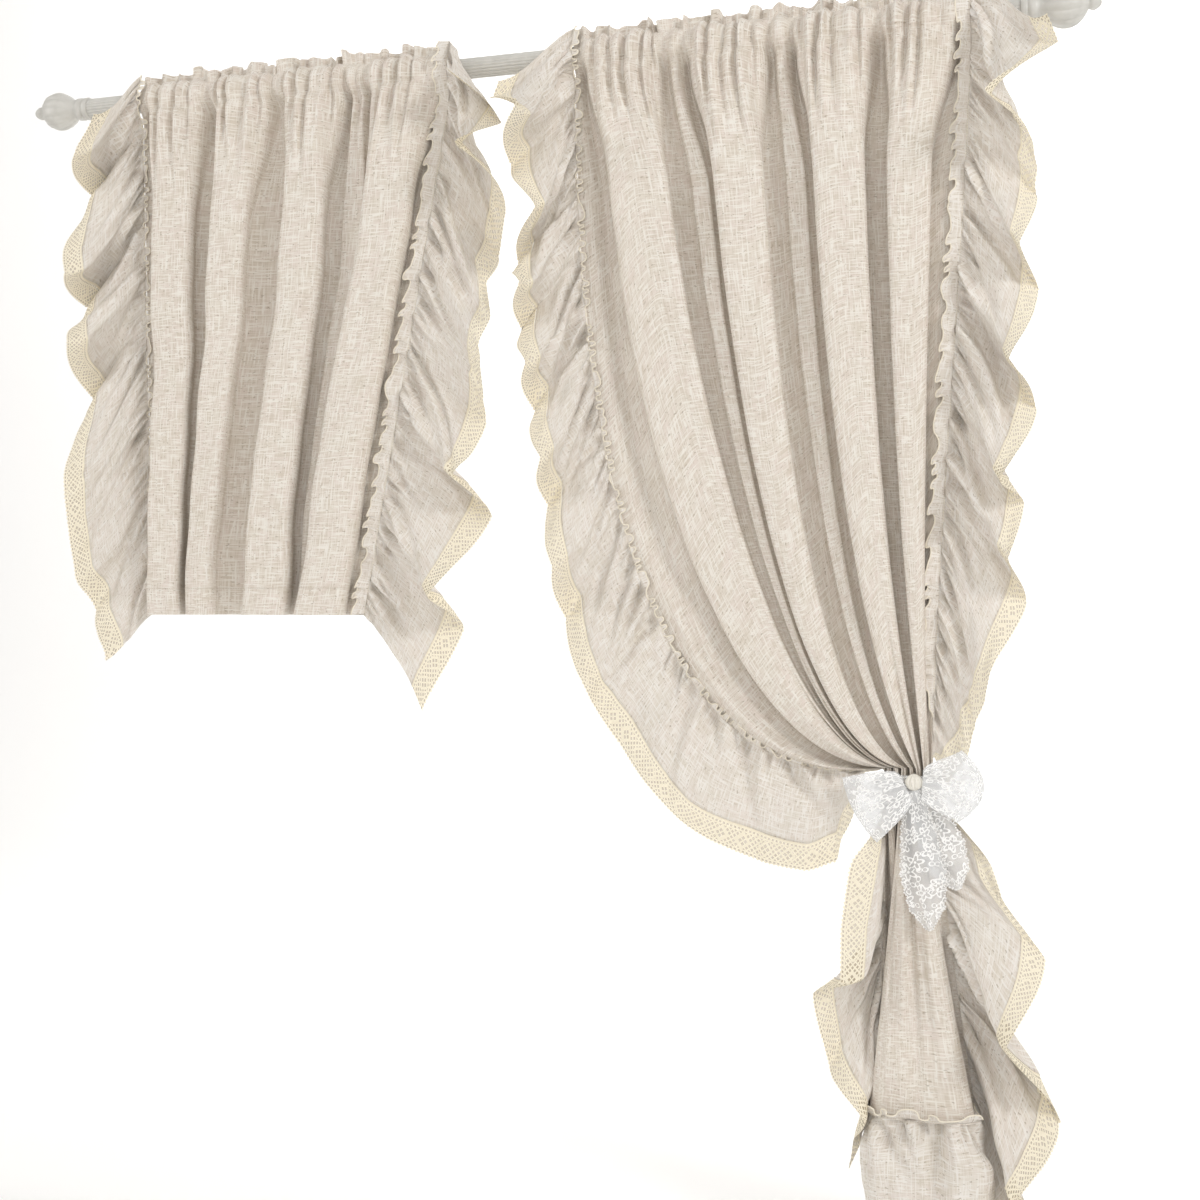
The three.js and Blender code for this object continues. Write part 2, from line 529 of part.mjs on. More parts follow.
// Ruffle along the foot of the long curtain, on the folds of its tail
function footRuffle(rows) {
  const [above, foot] = rows.slice(-2);
  const strip = [];
  for (let j = 1; j + 1 < foot.length; j++) {
    const along = foot[j + 1].clone().sub(foot[j - 1]).normalize();
    const out = new THREE.Vector3(along.y, -along.x, 0);
    const up = (rise) => foot[j].clone().lerp(above[j], rise / (above[j].z - foot[j].z));
    const base = up(4).addScaledVector(out, CLOTH + SEAM);
    const frill = up(4 + RUFFLE.header).addScaledVector(out, CLOTH + SEAM + (j % 2 ? 5 : 0.5));
    const share = mix(0.3, 1, ease((TAIL_X + 40 - base.x) / 80));
    const hang = (r) => {
      const drawnIn = FOOT.taper * ease((r - FOOT.full) / FOOT.cloth);
      const flare = 1 + share * (FOOT.bulge * ease(r / FOOT.full) - drawnIn);
      const wave = 3 * Math.sin(j * 1.3) * (r / FOOT.cloth);
      const x = TAIL_X + (base.x - TAIL_X) * flare;
      return new THREE.Vector3(x, base.y * flare, base.z - r).addScaledVector(out, wave);
    };
    const drops = [FOOT.full, FOOT.cloth, FOOT.cloth + SEAM, FOOT.cloth + RUFFLE.lace];
    strip.push([frill, base, ...drops.map(hang)]);
  }
  const normals = normalsOf(strip);
  normals.forEach((row) => row[4].copy(row[3]));
  add("long_ruffle_foot", sheet(cut(strip, 0, 4), cut(normals, 0, 4)), LINEN);
  add("long_lace_foot", sheet(cut(strip, 4, 6), cut(normals, 4, 6)), LACE);
}
footRuffle(longRows);

// Tie: a band round the gathered cloth
function roundedRing({ left, right, front, back, round }, grow) {
  const [x0, x1, y0, y1, r] = [left - grow, right + grow, front - grow, back + grow, round + grow];
  const path = grow ? new THREE.Shape() : new THREE.Path();
  const corners = [[x1 - r, y1 - r], [x0 + r, y1 - r], [x0 + r, y0 + r], [x1 - r, y0 + r]];
  corners.forEach(([x, y], k) => path.absarc(x, y, r, (k * Math.PI) / 2, ((k + 1) * Math.PI) / 2));
  return path.closePath();
}
const bandShape = roundedRing(BAND, BAND.wall);
bandShape.holes.push(roundedRing(BAND, 0));
const extrude = { depth: BAND.height, bevelEnabled: false, curveSegments: 3 };
const band = new THREE.ExtrudeGeometry(bandShape, extrude);
add("bow_band", band.translate(0, 0, BAND.top - BAND.height), TULLE);

// Bow: a knot in front of the band, a loop on each side and two free ends
const knotY = BAND.front - BAND.wall - SEAT - KNOT.depth;
const knot = new THREE.SphereGeometry(KNOT.radius, 12, 8).scale(1, KNOT.depth / KNOT.radius, 1);
add("bow_knot", knot.translate(KNOT.x, knotY, KNOT.z), TULLE);

function bowLoop(name, side, slope, length, width, round) {
  const axis = new THREE.Vector3(side * Math.cos(slope), 0, -Math.sin(slope));
  const cross = new THREE.Vector3(-axis.z, 0, axis.x);
  const root = new THREE.Vector3(KNOT.x, knotY, KNOT.z).addScaledVector(axis, KNOT.radius + SEAT + 0.4);
  const grid = [];
  for (let i = 0; i <= 12; i++) {
    const turn = (i / 12) * Math.PI;
    const open = Math.sin(turn);
    const spread = mix(20, width, open ** 0.55);
    grid.push(
      [-0.5, -0.25, 0, 0.25, 0.5].map((v) => {
        const out = length * open * (1 - round * 4 * v * v * open);
        const place = root.clone().addScaledVector(axis, out).addScaledVector(cross, v * spread);
        place.y -= 3 + mix(4, 11, open ** 0.5) * Math.cos(turn);
        return place;
      }),
    );
  }
  add(name, sheet(grid), TULLE);
}
bowLoop("bow_loop_left", -1, 0.5, 84, 104, 0.1);
bowLoop("bow_loop_right", 1, 0.06, 86, 104, 0.4);

function bowEnd(name, x, slope, length, y) {
  const axis = new THREE.Vector3(Math.sin(slope), 0, -Math.cos(slope));
  const cross = new THREE.Vector3(axis.z, 0, -axis.x);
  const under = KNOT.radius * Math.sqrt(1 - (x / KNOT.radius) ** 2 - (y / KNOT.depth) ** 2);
  const root = new THREE.Vector3(KNOT.x + x, knotY + y, KNOT.z - under - SEAT);
  const grid = BOW_END.map(({ at, width }) => {
    const centre = root.clone().addScaledVector(axis, at * length);
    centre.y += 4 * Math.sin(at * 5);
    return [-0.5, 0, 0.5].map((v) => centre.clone().addScaledVector(cross, v * width));
  });
  add(name, sheet(grid), TULLE);
}
bowEnd("bow_end_left", -1, 0.12, 198, -3);
bowEnd("bow_end_right", 4, 0.4, 150, 4);

export default group;
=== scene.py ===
import math

import bpy
import numpy as np
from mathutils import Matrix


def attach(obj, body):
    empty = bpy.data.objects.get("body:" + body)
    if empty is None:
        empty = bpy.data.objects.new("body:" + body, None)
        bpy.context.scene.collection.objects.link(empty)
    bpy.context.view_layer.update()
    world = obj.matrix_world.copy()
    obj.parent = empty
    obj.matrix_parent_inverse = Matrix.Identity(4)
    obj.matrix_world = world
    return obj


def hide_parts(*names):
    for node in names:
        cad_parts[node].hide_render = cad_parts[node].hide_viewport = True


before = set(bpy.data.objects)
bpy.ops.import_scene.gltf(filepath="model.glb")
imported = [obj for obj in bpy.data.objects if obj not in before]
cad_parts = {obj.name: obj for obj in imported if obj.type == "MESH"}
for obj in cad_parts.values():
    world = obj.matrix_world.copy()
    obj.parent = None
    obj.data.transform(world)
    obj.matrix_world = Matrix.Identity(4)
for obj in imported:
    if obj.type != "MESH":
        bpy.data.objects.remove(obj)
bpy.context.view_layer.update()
mm = 0.001  # shapes are worked out in millimetres
tau = 2 * math.pi


# plain maths on arrays

def mix(a, b, t):
    return a + (b - a) * t


def ease(t):
    t = np.clip(t, 0, 1)
    return t * t * (3 - 2 * t)


def unit(v):
    return v / np.maximum(np.linalg.norm(v, axis=-1, keepdims=True), 1e-9)


def lengths(points, axis=0):  # running length of a line of points, or of each line of a grid
    steps = np.linalg.norm(np.diff(points, axis=axis), axis=-1)
    return np.concatenate([np.zeros_like(steps.take([0], axis)), np.cumsum(steps, axis)], axis)


def resampled(line, run, at):  # the points of a line at other running lengths
    return np.stack([np.interp(at, run, values) for values in line.T], -1)


def alongTable(rows, at, crisp=0):  # a table's columns between its rows, its first column being the place
    rows = np.asarray(rows, float)
    k = np.clip(np.searchsorted(rows[:, 0], at) - 1, 0, len(rows) - 2)
    t = np.clip((at - rows[k, 0]) / (rows[k + 1, 0] - rows[k, 0]), 0, 1)
    return np.moveaxis(mix(rows[k], rows[k + 1], mix(ease(t), t, crisp)[..., None]), -1, 0)


def bezier(t, a, b, c, d):
    return (1 - t) ** 3 * a + 3 * t * (1 - t) ** 2 * b + 3 * t * t * (1 - t) * c + t**3 * d


def spline(points, at, pull=0.5):  # smooth curve through points, at counted in points
    points = np.asarray(points, float)
    padded = np.concatenate([2 * points[:1] - points[1:2], points, 2 * points[-1:] - points[-2:-1]])
    k = np.clip(np.floor(at).astype(int), 0, len(points) - 2)
    t = (at - k)[..., None]
    a, b, c, d = (padded[k + n] for n in range(4))
    return ((2 * t**3 - 3 * t**2 + 1) * b + (t**3 - 2 * t**2 + t) * pull * (c - a)
            + (3 * t**2 - 2 * t**3) * c + (t**3 - t**2) * pull * (d - b))


def waver(at, period, seed):  # an uneven wave between about -1 and 1
    turns = np.random.default_rng(seed).uniform(0, tau, 4)
    rates, shares = (1, 1.61, 2.73, 0.57), (1, 0.6, 0.4, 0.7)
    return sum(s * np.sin(tau * at * r / period + a) for r, s, a in zip(rates, shares, turns)) / 2


def gathers(at, pitch, seed, sharp=1.2):  # rounded crests with tight valleys between, 0 to 1, no two alike
    turn = tau * at / pitch + 2.4 * waver(at, pitch * 5, seed)
    return (0.76 + 0.24 * waver(at, pitch * 2.3, seed + 1)) * np.abs(np.cos(turn / 2)) ** sharp


def crumple(a, b, period, seed):  # soft unevenness over a surface
    draw = np.random.default_rng(seed)
    total = 0
    for heading, turn in zip(draw.uniform(0, math.pi, 7), draw.uniform(0, tau, 7)):
        rate = tau / period * draw.uniform(0.6, 1.8)
        total = total + np.sin(rate * (a * math.cos(heading) + b * math.sin(heading)) + turn)
    return total / 4


def surfaceNormals(grid):  # rows run down, columns to the right, and normals towards the room
    return unit(np.cross(np.gradient(grid, axis=0), np.gradient(grid, axis=1)))


def areaOf(grid):
    a = np.cross(grid[1:, :-1] - grid[:-1, :-1], grid[:-1, 1:] - grid[:-1, :-1])
    b = np.cross(grid[1:, :-1] - grid[1:, 1:], grid[:-1, 1:] - grid[1:, 1:])
    return (np.linalg.norm(a, axis=-1).sum() + np.linalg.norm(b, axis=-1).sum()) / 2


# node trees

def operator(operation, reflected=False):
    def apply(self, other):
        return self.maths(operation, *((other, self) if reflected else (self, other)))
    return apply


class Wire:  # a socket that Python's operators can be used on
    __add__, __radd__ = operator("ADD"), operator("ADD", True)
    __sub__, __rsub__ = operator("SUBTRACT"), operator("SUBTRACT", True)
    __mul__, __rmul__ = operator("MULTIPLY"), operator("MULTIPLY", True)
    __truediv__, __rtruediv__ = operator("DIVIDE"), operator("DIVIDE", True)
    __lt__, __gt__ = operator("LESS_THAN"), operator("GREATER_THAN")
    __or__, __and__ = operator("MAXIMUM"), operator("MINIMUM")

    def __init__(self, socket):
        self.socket, self.tree = socket, socket.id_data

    def maths(self, operation, *values):
        return node(self.tree, "ShaderNodeMath", {"operation": operation}, dict(enumerate(values)))

    def __abs__(self):
        return self.maths("ABSOLUTE", self)

    def fraction(self):
        return self.maths("FRACT", self)

    def wave(self):
        return self.maths("COSINE", self)


def node(tree, kind, settings, sockets, output=0):
    made = tree.nodes.new(kind)
    for key, value in settings.items():
        setattr(made, key, value)
    for key, value in sockets.items():
        if isinstance(value, Wire):
            tree.links.new(value.socket, made.inputs[key])
        else:
            made.inputs[key].default_value = value
    return Wire(made.outputs[output]) if len(made.outputs) else made


def newFinish(name, constants):
    material = bpy.data.materials.new(name)
    material.use_nodes = True
    shader = material.node_tree.nodes["Principled BSDF"]
    for key, value in constants.items():
        shader.inputs[key].default_value = value
    return material, material.node_tree, shader


def feed(shader, wires):
    for key, wire in wires.items():
        shader.id_data.links.new(wire.socket, shader.inputs[key])


def clothPlace(tree, across, along):  # the cloth's own place, counted in so many steps to the metre
    place = node(tree, "ShaderNodeUVMap", {"uv_map": "cloth"}, {})
    return node(tree, "ShaderNodeVectorMath", {"operation": "MULTIPLY"}, {0: place, 1: (across, along, 1)})


def clothNoise(tree, across, along, detail=1.0):  # uneven patches, so many to the metre
    return node(tree, "ShaderNodeTexNoise", {"noise_dimensions": "2D"},
                {"Vector": clothPlace(tree, across, along), "Scale": 1.0, "Detail": detail,
                 "Roughness": 0.6})


def split(tree, vector):
    parts = node(tree, "ShaderNodeSeparateXYZ", {}, {0: vector}).socket.node
    return Wire(parts.outputs[0]), Wire(parts.outputs[1])


def tint(tree, factor, dark, light):
    return node(tree, "ShaderNodeMix", {"data_type": "RGBA"}, {0: factor, 6: dark, 7: light}, 2)


def bumpOf(tree, height, strength, distance):
    return node(tree, "ShaderNodeBump", {}, {"Height": height, "Strength": strength, "Distance": distance})


# finishes: sizes of a pattern are in mm, and noise is counted to the metre

linenLook = dict(dark=(0.60, 0.535, 0.45, 1), plain=(0.70, 0.645, 0.57, 1), slub=(0.79, 0.755, 0.695, 1),
                 rosy=(0.705, 0.63, 0.57, 1), fleck=(0.25, 0.18, 0.11, 1), fleckMost=0.5,
                 streak=34, fine=420, mottle=11, patch=23, speck=(150, 330), bump=0.4)
ruffleLook = dict(linenLook, dark=(0.63, 0.575, 0.495, 1), plain=(0.72, 0.675, 0.61, 1),
                  slub=(0.80, 0.77, 0.725, 1), rosy=(0.725, 0.665, 0.61, 1))


def makeLinen(name, look):
    material, tree, shader = newFinish(name, {
        "Roughness": 0.93, "Sheen Weight": 0.1, "Sheen Roughness": 0.5, "Specular IOR Level": 0.2})
    weft = clothNoise(tree, look["streak"], look["fine"])
    warp = clothNoise(tree, look["fine"], look["streak"] * 0.8)
    mottle = clothNoise(tree, look["mottle"], look["mottle"], 3.0)
    patch = clothNoise(tree, look["patch"], look["patch"], 2.0)
    speck = clothNoise(tree, *look["speck"])
    slubs = (((weft - 0.54) * 7 | 0) + ((warp - 0.55) * 7 | 0)) & 1  # thick threads catch the light
    thin = (((0.45 - weft) * 6 | 0) + ((0.44 - warp) * 6 | 0)) & 1
    base = tint(tree, ((patch - 0.35) * 3.3 | 0) & 1, look["rosy"], look["plain"])
    ground = tint(tree, (thin * 0.75 + (0.5 - mottle) * 0.7 | 0) & 1, base, look["dark"])
    woven = tint(tree, slubs, ground, look["slub"])
    flecks = ((speck - 0.70) * 12 | 0) & look["fleckMost"]
    feed(shader, {"Base Color": tint(tree, flecks, woven, look["fleck"]),
                  "Normal": bumpOf(tree, weft + warp, look["bump"], 0.0006)})
    return material


# the lace's holes take a dark tan that covers most of each hole: partly its fine ground net, partly
# painted shade seen through the holes
trimLook = dict(thread=(0.93, 0.875, 0.735, 1), shade=(0.80, 0.725, 0.565, 1), holeNetAndShade=(0.45, 0.375, 0.26, 1),
                holeNetAndShadeCover=0.75, width=42.0, mesh=8.4, meshHole=0.29, motif=36.0, diamond=12.2,
                petal=4.4, petalHole=2.9, centre=12.4, ladder=6.2, rungHole=0.27, ladderOut=16,
                ladderHole=1.3, edge=1.4, scallop=6.6, scallopDeep=1.1)


def makeTrimLace(look):
    material, tree, shader = newFinish("cottonTrimLace", {"Roughness": 0.88, "Specular IOR Level": 0.25})
    u, v = split(tree, clothPlace(tree, 1 / mm, 1 / mm))
    left, right = (abs((slant / look["mesh"]).fraction() - 0.5) for slant in (u + v, u - v))
    netGap = (left | right) < look["meshHole"]
    offset = abs((u / look["motif"]).fraction() - 0.5) * look["motif"]
    rise = abs(v - look["width"] / 2)
    sidePetals = (abs(offset - look["petal"]) + rise) < look["petalHole"]
    endPetals = (offset + abs(rise - look["petal"])) < look["petalHole"]
    outside = (offset + rise) > look["diamond"]  # a closed diamond round each motif's middle
    centreGap = (netGap * outside | sidePetals | endPetals) * (rise < look["centre"])
    rung = abs((u / look["ladder"]).fraction() - 0.5) < look["rungHole"]
    ladderGap = rung * (abs(rise - look["ladderOut"]) < look["ladderHole"])
    hole = centreGap | ladderGap
    scallop = (u * (tau / look["scallop"])).wave() * look["scallopDeep"]
    rim = v > (look["width"] - look["edge"] + scallop)
    thread = tint(tree, clothNoise(tree, 900, 900), look["shade"], look["thread"])
    # holes are tinted dark tan and left mostly opaque: partly fine ground net, partly painted shade seen
    # through them
    feed(shader, {"Base Color": tint(tree, hole, thread, look["holeNetAndShade"]),
                  "Alpha": (1 - hole * (1 - look["holeNetAndShadeCover"])) * (1 - rim),
                  "Normal": bumpOf(tree, 1 - hole, 0.5, 0.0007)})
    return material


bowLook = dict(white=(0.92, 0.92, 0.91, 1), net=(0.80, 0.81, 0.82, 1), netCover=0.36, threadCover=0.30,
               stitchCover=0.97, mesh=2.2, meshHole=0.36, line=0.062, eye=0.07,
               flower=(36, 5, 0.30, 0.12), leaf=(58, 2, 0.22, 0.2))  # to the metre, lobes, size, swing


def makeBowLace(look):
    material, tree, shader = newFinish("embroideredNet", {"Roughness": 0.7, "Specular IOR Level": 0.3})
    u, v = split(tree, clothPlace(tree, 1000 / look["mesh"], 1000 / look["mesh"]))
    net = 1 - ((abs((u + v).fraction() - 0.5) | abs((u - v).fraction() - 0.5)) < look["meshHole"])

    def motif(scale, lobes, size, swing):  # a bloom with some lobes in each cell of a loose layout
        place = clothPlace(tree, scale, scale)
        cells = node(tree, "ShaderNodeTexVoronoi", {"voronoi_dimensions": "2D"},
                     {"Vector": place, "Scale": 1.0, "Randomness": 0.75}).socket.node
        away = node(tree, "ShaderNodeVectorMath", {"operation": "SUBTRACT"},
                    {0: place, 1: Wire(cells.outputs["Position"])})
        x, y = split(tree, away)
        turn = y.maths("ARCTAN2", y, x)
        spin, _ = split(tree, Wire(cells.outputs["Color"]))
        far = Wire(cells.outputs["Distance"])
        edge = size + (turn * lobes + spin * 6.3).wave() * swing
        return (abs(far - edge) < look["line"]) | (far < look["eye"])

    stitched = motif(*look["flower"]) | motif(*look["leaf"])
    feed(shader, {"Base Color": tint(tree, stitched, look["net"], look["white"]),
                  "Alpha": stitched * look["stitchCover"] | (net * look["threadCover"] + look["netCover"]),
                  "Normal": bumpOf(tree, stitched, 0.5, 0.0006)})
    return material


grainedLooks = dict(  # darker and lighter colour, grain, and what stays the same all over
    creamThread=((0.80, 0.735, 0.60, 1), (0.90, 0.85, 0.74, 1), 900, {"Roughness": 0.85}),
    linenThread=((0.60, 0.54, 0.46, 1), (0.70, 0.64, 0.56, 1), 900, {"Roughness": 0.9}),
    gatheredNet=((0.70, 0.66, 0.57, 1), (0.92, 0.90, 0.85, 1), 420, {"Roughness": 0.8}),
    pearlBead=((0.80, 0.79, 0.77, 1), (0.93, 0.92, 0.90, 1), 300, {"Roughness": 0.3, "Coat Weight": 0.4}),
    ivoryPaint=((0.49, 0.48, 0.445, 1), (0.70, 0.69, 0.655, 1), 55,
                {"Roughness": 0.42, "Coat Weight": 0.15}))


def makeGrained(name, dark, light, scale, constants):  # one colour, worn unevenly
    material, tree, shader = newFinish(name, constants)
    place = node(tree, "ShaderNodeTexCoord", {}, {}, "Object")
    patch = node(tree, "ShaderNodeTexNoise", {}, {"Vector": place, "Scale": scale, "Detail": 3.0})
    feed(shader, {"Base Color": tint(tree, patch, dark, light),
                  "Normal": bumpOf(tree, patch, 0.12, 0.0008)})
    return material


linen, ruffleLinen = makeLinen("washedLinen", linenLook), makeLinen("lightLinen", ruffleLook)
trimLace, bowLace = makeTrimLace(trimLook), makeBowLace(bowLook)
creamThread, linenThread, knotNet, pearl, ivoryPaint = (
    makeGrained(name, *look) for name, look in grainedLooks.items())
print("finishes made")


# meshes

def linked(name, data):
    piece = bpy.data.objects.new(name, data)
    bpy.context.scene.collection.objects.link(piece)
    return piece


def flatUv(across, along):  # where each point of a grid lies on the flat cloth, in mm
    return np.stack(np.broadcast_arrays(across, along), -1)


def clothPiece(name, grid, uv, material, thickness=0, flip=False, closed=False):  # a sheet on a grid
    rows, columns = grid.shape[:2]
    i, j = np.meshgrid(np.arange(rows - 1), np.arange(columns - 1 + closed), indexing="ij")
    across = (j + 1) % columns
    corners = [i * columns + j, (i + 1) * columns + j, (i + 1) * columns + across, i * columns + across]
    faces = np.stack(corners[::-1] if flip else corners, -1).reshape(-1, 4)
    mesh = bpy.data.meshes.new(name)
    mesh.from_pydata((grid.reshape(-1, 3) * mm).tolist(), [], faces.tolist())
    uvLayer = mesh.uv_layers.new(name="cloth")
    uvLayer.data.foreach_set("uv", (uv.reshape(-1, 2) * mm)[faces.ravel()].astype(np.float32).ravel())
    mesh.shade_smooth()
    mesh.materials.append(material)
    piece = linked(name, mesh)
    if thickness:
        wall = piece.modifiers.new("clothThickness", "SOLIDIFY")
        wall.thickness, wall.offset = thickness * mm, 0
    return piece


def settle(piece):  # the modifiers' result as a plain mesh
    evaluated = piece.evaluated_get(bpy.context.evaluated_depsgraph_get())
    made = bpy.data.meshes.new_from_object(evaluated)
    made.name = piece.name
    piece.modifiers.clear()
    piece.data = made
    return piece


def closePoles(piece):
    merge = piece.modifiers.new("closePoles", "WELD")
    merge.merge_threshold = 0.02 * mm
    return settle(piece)


def dress(piece, slotName, *nodes):
    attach(piece, "root")
    if nodes:
        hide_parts(*nodes)
    return piece


# geometry nodes: what repeats along a line

def newTree(name, *sizes):  # a tree with named inputs for its sizes, seed and material
    kinds = dict(Geometry="NodeSocketGeometry", Seed="NodeSocketInt", Material="NodeSocketMaterial")
    tree = bpy.data.node_groups.new(name, "GeometryNodeTree")
    for label in ("Geometry", *sizes, "Material"):
        tree.interface.new_socket(label, in_out="INPUT", socket_type=kinds.get(label, "NodeSocketFloat"))
    tree.interface.new_socket("Geometry", in_out="OUTPUT", socket_type="NodeSocketGeometry")
    entry = node(tree, "NodeGroupInput", {}, {}).socket.node
    return tree, {s.name: Wire(s) for s in entry.outputs if s.name}


def endTree(tree, shape, given):
    solid = node(tree, "GeometryNodeRealizeInstances", {}, {0: shape})
    smooth = node(tree, "GeometryNodeSetShadeSmooth", {}, {0: solid})
    painted = node(tree, "GeometryNodeSetMaterial", {},
                   {"Geometry": smooth, "Material": given["Material"]})
    node(tree, "NodeGroupOutput", {}, {0: painted})
    return tree


def lineOf(tree, given):
    return node(tree, "GeometryNodeMeshToCurve", {}, {0: given["Geometry"]})


def spotsAlong(tree, given):  # points at an even pitch along the lines
    return node(tree, "GeometryNodeResampleCurve", {"mode": "LENGTH"},
                {"Curve": lineOf(tree, given), "Length": given["Pitch"]})


def unevenSize(tree, given, least, most):
    return node(tree, "FunctionNodeRandomValue", {"data_type": "FLOAT"},
                {2: least, 3: most, "Seed": given["Seed"]}, 1)


def circleOf(tree, sides, radius):
    return node(tree, "GeometryNodeCurvePrimitiveCircle", {}, {"Resolution": sides, "Radius": radius})


def tubeAlong(tree, line, section):
    return node(tree, "GeometryNodeCurveToMesh", {},
                {"Curve": line, "Profile Curve": section, "Fill Caps": True})


def stitchTree():  # short rounded stitches, each along its line
    tree, given = newTree("stitches", "Pitch", "Stitch", "Thread", "Seed")
    spots = spotsAlong(tree, given)
    tangent = node(tree, "GeometryNodeInputTangent", {}, {})
    turned = node(tree, "FunctionNodeAlignRotationToVector", {"axis": "Z"}, {"Vector": tangent})
    half = given["Stitch"] * 0.5 * unevenSize(tree, given, 0.85, 1.15)
    size = node(tree, "ShaderNodeCombineXYZ", {}, {0: given["Thread"], 1: given["Thread"], 2: half})
    bead = node(tree, "GeometryNodeMeshUVSphere", {}, {"Segments": 6, "Rings": 4, "Radius": 1.0})
    sewn = node(tree, "GeometryNodeInstanceOnPoints", {},
                {"Points": spots, "Instance": bead, "Rotation": turned, "Scale": size})
    return endTree(tree, sewn, given)


def cordTree():  # a thread laid along a line
    tree, given = newTree("laidThread", "Thread")
    tube = tubeAlong(tree, lineOf(tree, given), circleOf(tree, 5, given["Thread"]))
    return endTree(tree, tube, given)


def beadTree():  # round picots, uneven in size
    tree, given = newTree("picots", "Pitch", "Bead", "Seed")
    bead = node(tree, "GeometryNodeMeshUVSphere", {}, {"Segments": 7, "Rings": 5, "Radius": given["Bead"]})
    strung = node(tree, "GeometryNodeInstanceOnPoints", {},
                  {"Points": spotsAlong(tree, given), "Instance": bead,
                   "Scale": unevenSize(tree, given, 0.75, 1.2)})
    return endTree(tree, strung, given)


def grow(name, tree, lines, values):  # runs a tree along lines of points
    points = np.concatenate(lines) * mm
    starts = np.cumsum([0] + [len(line) for line in lines])
    edges = [(k, k + 1) for a, b in zip(starts[:-1], starts[1:]) for k in range(a, b - 1)]
    mesh = bpy.data.meshes.new(name)
    mesh.from_pydata(points.tolist(), edges, [])
    piece = linked(name, mesh)
    modifier = piece.modifiers.new(tree.name, "NODES")
    modifier.node_group = tree
    for socket in tree.interface.items_tree:
        if socket.in_out == "INPUT" and socket.name in values:
            modifier[socket.identifier] = values[socket.name]
    return settle(piece)


stitches, laidThread, picots = stitchTree(), cordTree(), beadTree()
print("trees made")


# sewing: stitches, overlocked edges and picots

sewingSize = dict(pitch=4.2, stitch=3.2, thread=0.55, overlock=1.15, picotPitch=4.2, picot=1.5, fewest=8)


def runs(points, visible):  # the stretches of a line that show
    marks = np.flatnonzero(np.diff(np.concatenate([[0], visible.astype(int), [0]])))
    return [points[a:b] for a, b in zip(marks[::2], marks[1::2]) if b - a > sewingSize["fewest"]]


def sew(name, lines, slotName, seed, finish):
    piece = grow(name, stitches, lines, {
        "Pitch": sewingSize["pitch"] * mm, "Stitch": sewingSize["stitch"] * mm,
        "Thread": sewingSize["thread"] * mm, "Seed": seed, "Material": finish})
    return dress(piece, slotName)


# rod and finials

rodSize = dict(length=1540, radius=16, reeds=20, depth=1.3, sides=200)
finialSize = dict(lobes=12, sidesPerLobe=10, roundness=0.7)
finialRings = [  # distance from the rod's end, radius, how deep the lobes are
    (0.3, 0, 0), (0.4, 17.2, 0), (1.6, 18.4, 0), (8, 18.4, 0), (9.4, 17.6, 0), (10.4, 16.2, 0),
    (11.6, 16.2, 0), (12.6, 17.6, 0), (14, 18.4, 0), (21.5, 18.4, 0), (23.2, 17.2, 0), (25.4, 15.4, 0),
    (28, 15.3, 0.01), (32, 17.6, 0.03), (38, 22.6, 0.06), (44, 26.6, 0.075), (50, 29.4, 0.08),
    (56, 31, 0.08), (62, 31.4, 0.08), (69, 30.4, 0.08), (76, 27.6, 0.08), (82, 23.2, 0.07),
    (87, 17.6, 0.05), (90, 12.6, 0.02), (91.6, 9.2, 0), (93, 8.4, 0), (95.4, 9.8, 0), (98, 10.6, 0),
    (101, 10.2, 0), (105, 8.2, 0), (108.4, 5.6, 0), (110, 3, 0), (110.4, 0, 0)]


def rodTree():  # a straight rod whose section carries reeds all round
    tree, given = newTree("reededRod", "Length", "Radius", "Reeds", "Depth")
    half = given["Length"] * 0.5
    begin = node(tree, "ShaderNodeCombineXYZ", {}, {0: 0 - half})
    end = node(tree, "ShaderNodeCombineXYZ", {}, {0: half})
    axis = node(tree, "GeometryNodeCurvePrimitiveLine", {}, {"Start": begin, "End": end})
    place = node(tree, "GeometryNodeInputPosition", {}, {})
    x, y = split(tree, place)
    turn = y.maths("ARCTAN2", y, x)
    groove = abs((turn * given["Reeds"] * 0.5).wave())
    sink = (1 - groove.maths("POWER", groove, 0.5)) * given["Depth"] / given["Radius"]
    inward = node(tree, "ShaderNodeVectorMath", {"operation": "SCALE"}, {0: place, "Scale": 0 - sink})
    section = node(tree, "GeometryNodeSetPosition", {},
                   {"Geometry": circleOf(tree, rodSize["sides"], given["Radius"]), "Offset": inward})
    return endTree(tree, tubeAlong(tree, axis, section), given)


def finial(name, side, cadNode):
    size = finialSize
    start, radius, lobed = np.array(finialRings).T[..., None]
    sides = size["lobes"] * size["sidesPerLobe"]
    turn = np.arange(sides) / sides * tau
    lobe = np.abs(np.sin(turn * size["lobes"] / 2)) ** size["roundness"]
    radius = radius * (1 - lobed * (1 - lobe))
    along = np.broadcast_to(side * (rodSize["length"] / 2 + start), radius.shape)
    grid = np.stack([along, radius * np.cos(turn), radius * np.sin(turn)], -1)
    piece = clothPiece(name, grid, np.zeros(grid.shape[:2] + (2,)), ivoryPaint, flip=side > 0, closed=True)
    return dress(closePoles(piece), "painted_wood", cadNode)


rod = grow("reededRodPiece", rodTree(), [np.zeros((2, 3))], {
    "Length": rodSize["length"] * mm, "Radius": rodSize["radius"] * mm, "Reeds": rodSize["reeds"],
    "Depth": rodSize["depth"] * mm, "Material": ivoryPaint})
dress(rod, "painted_wood", "rod")
finial("finialLeftPiece", -1, "finial_left")
finial("finialRightPiece", 1, "finial_right")
print("rod and finials made")


# panels: pocket, heading and folds

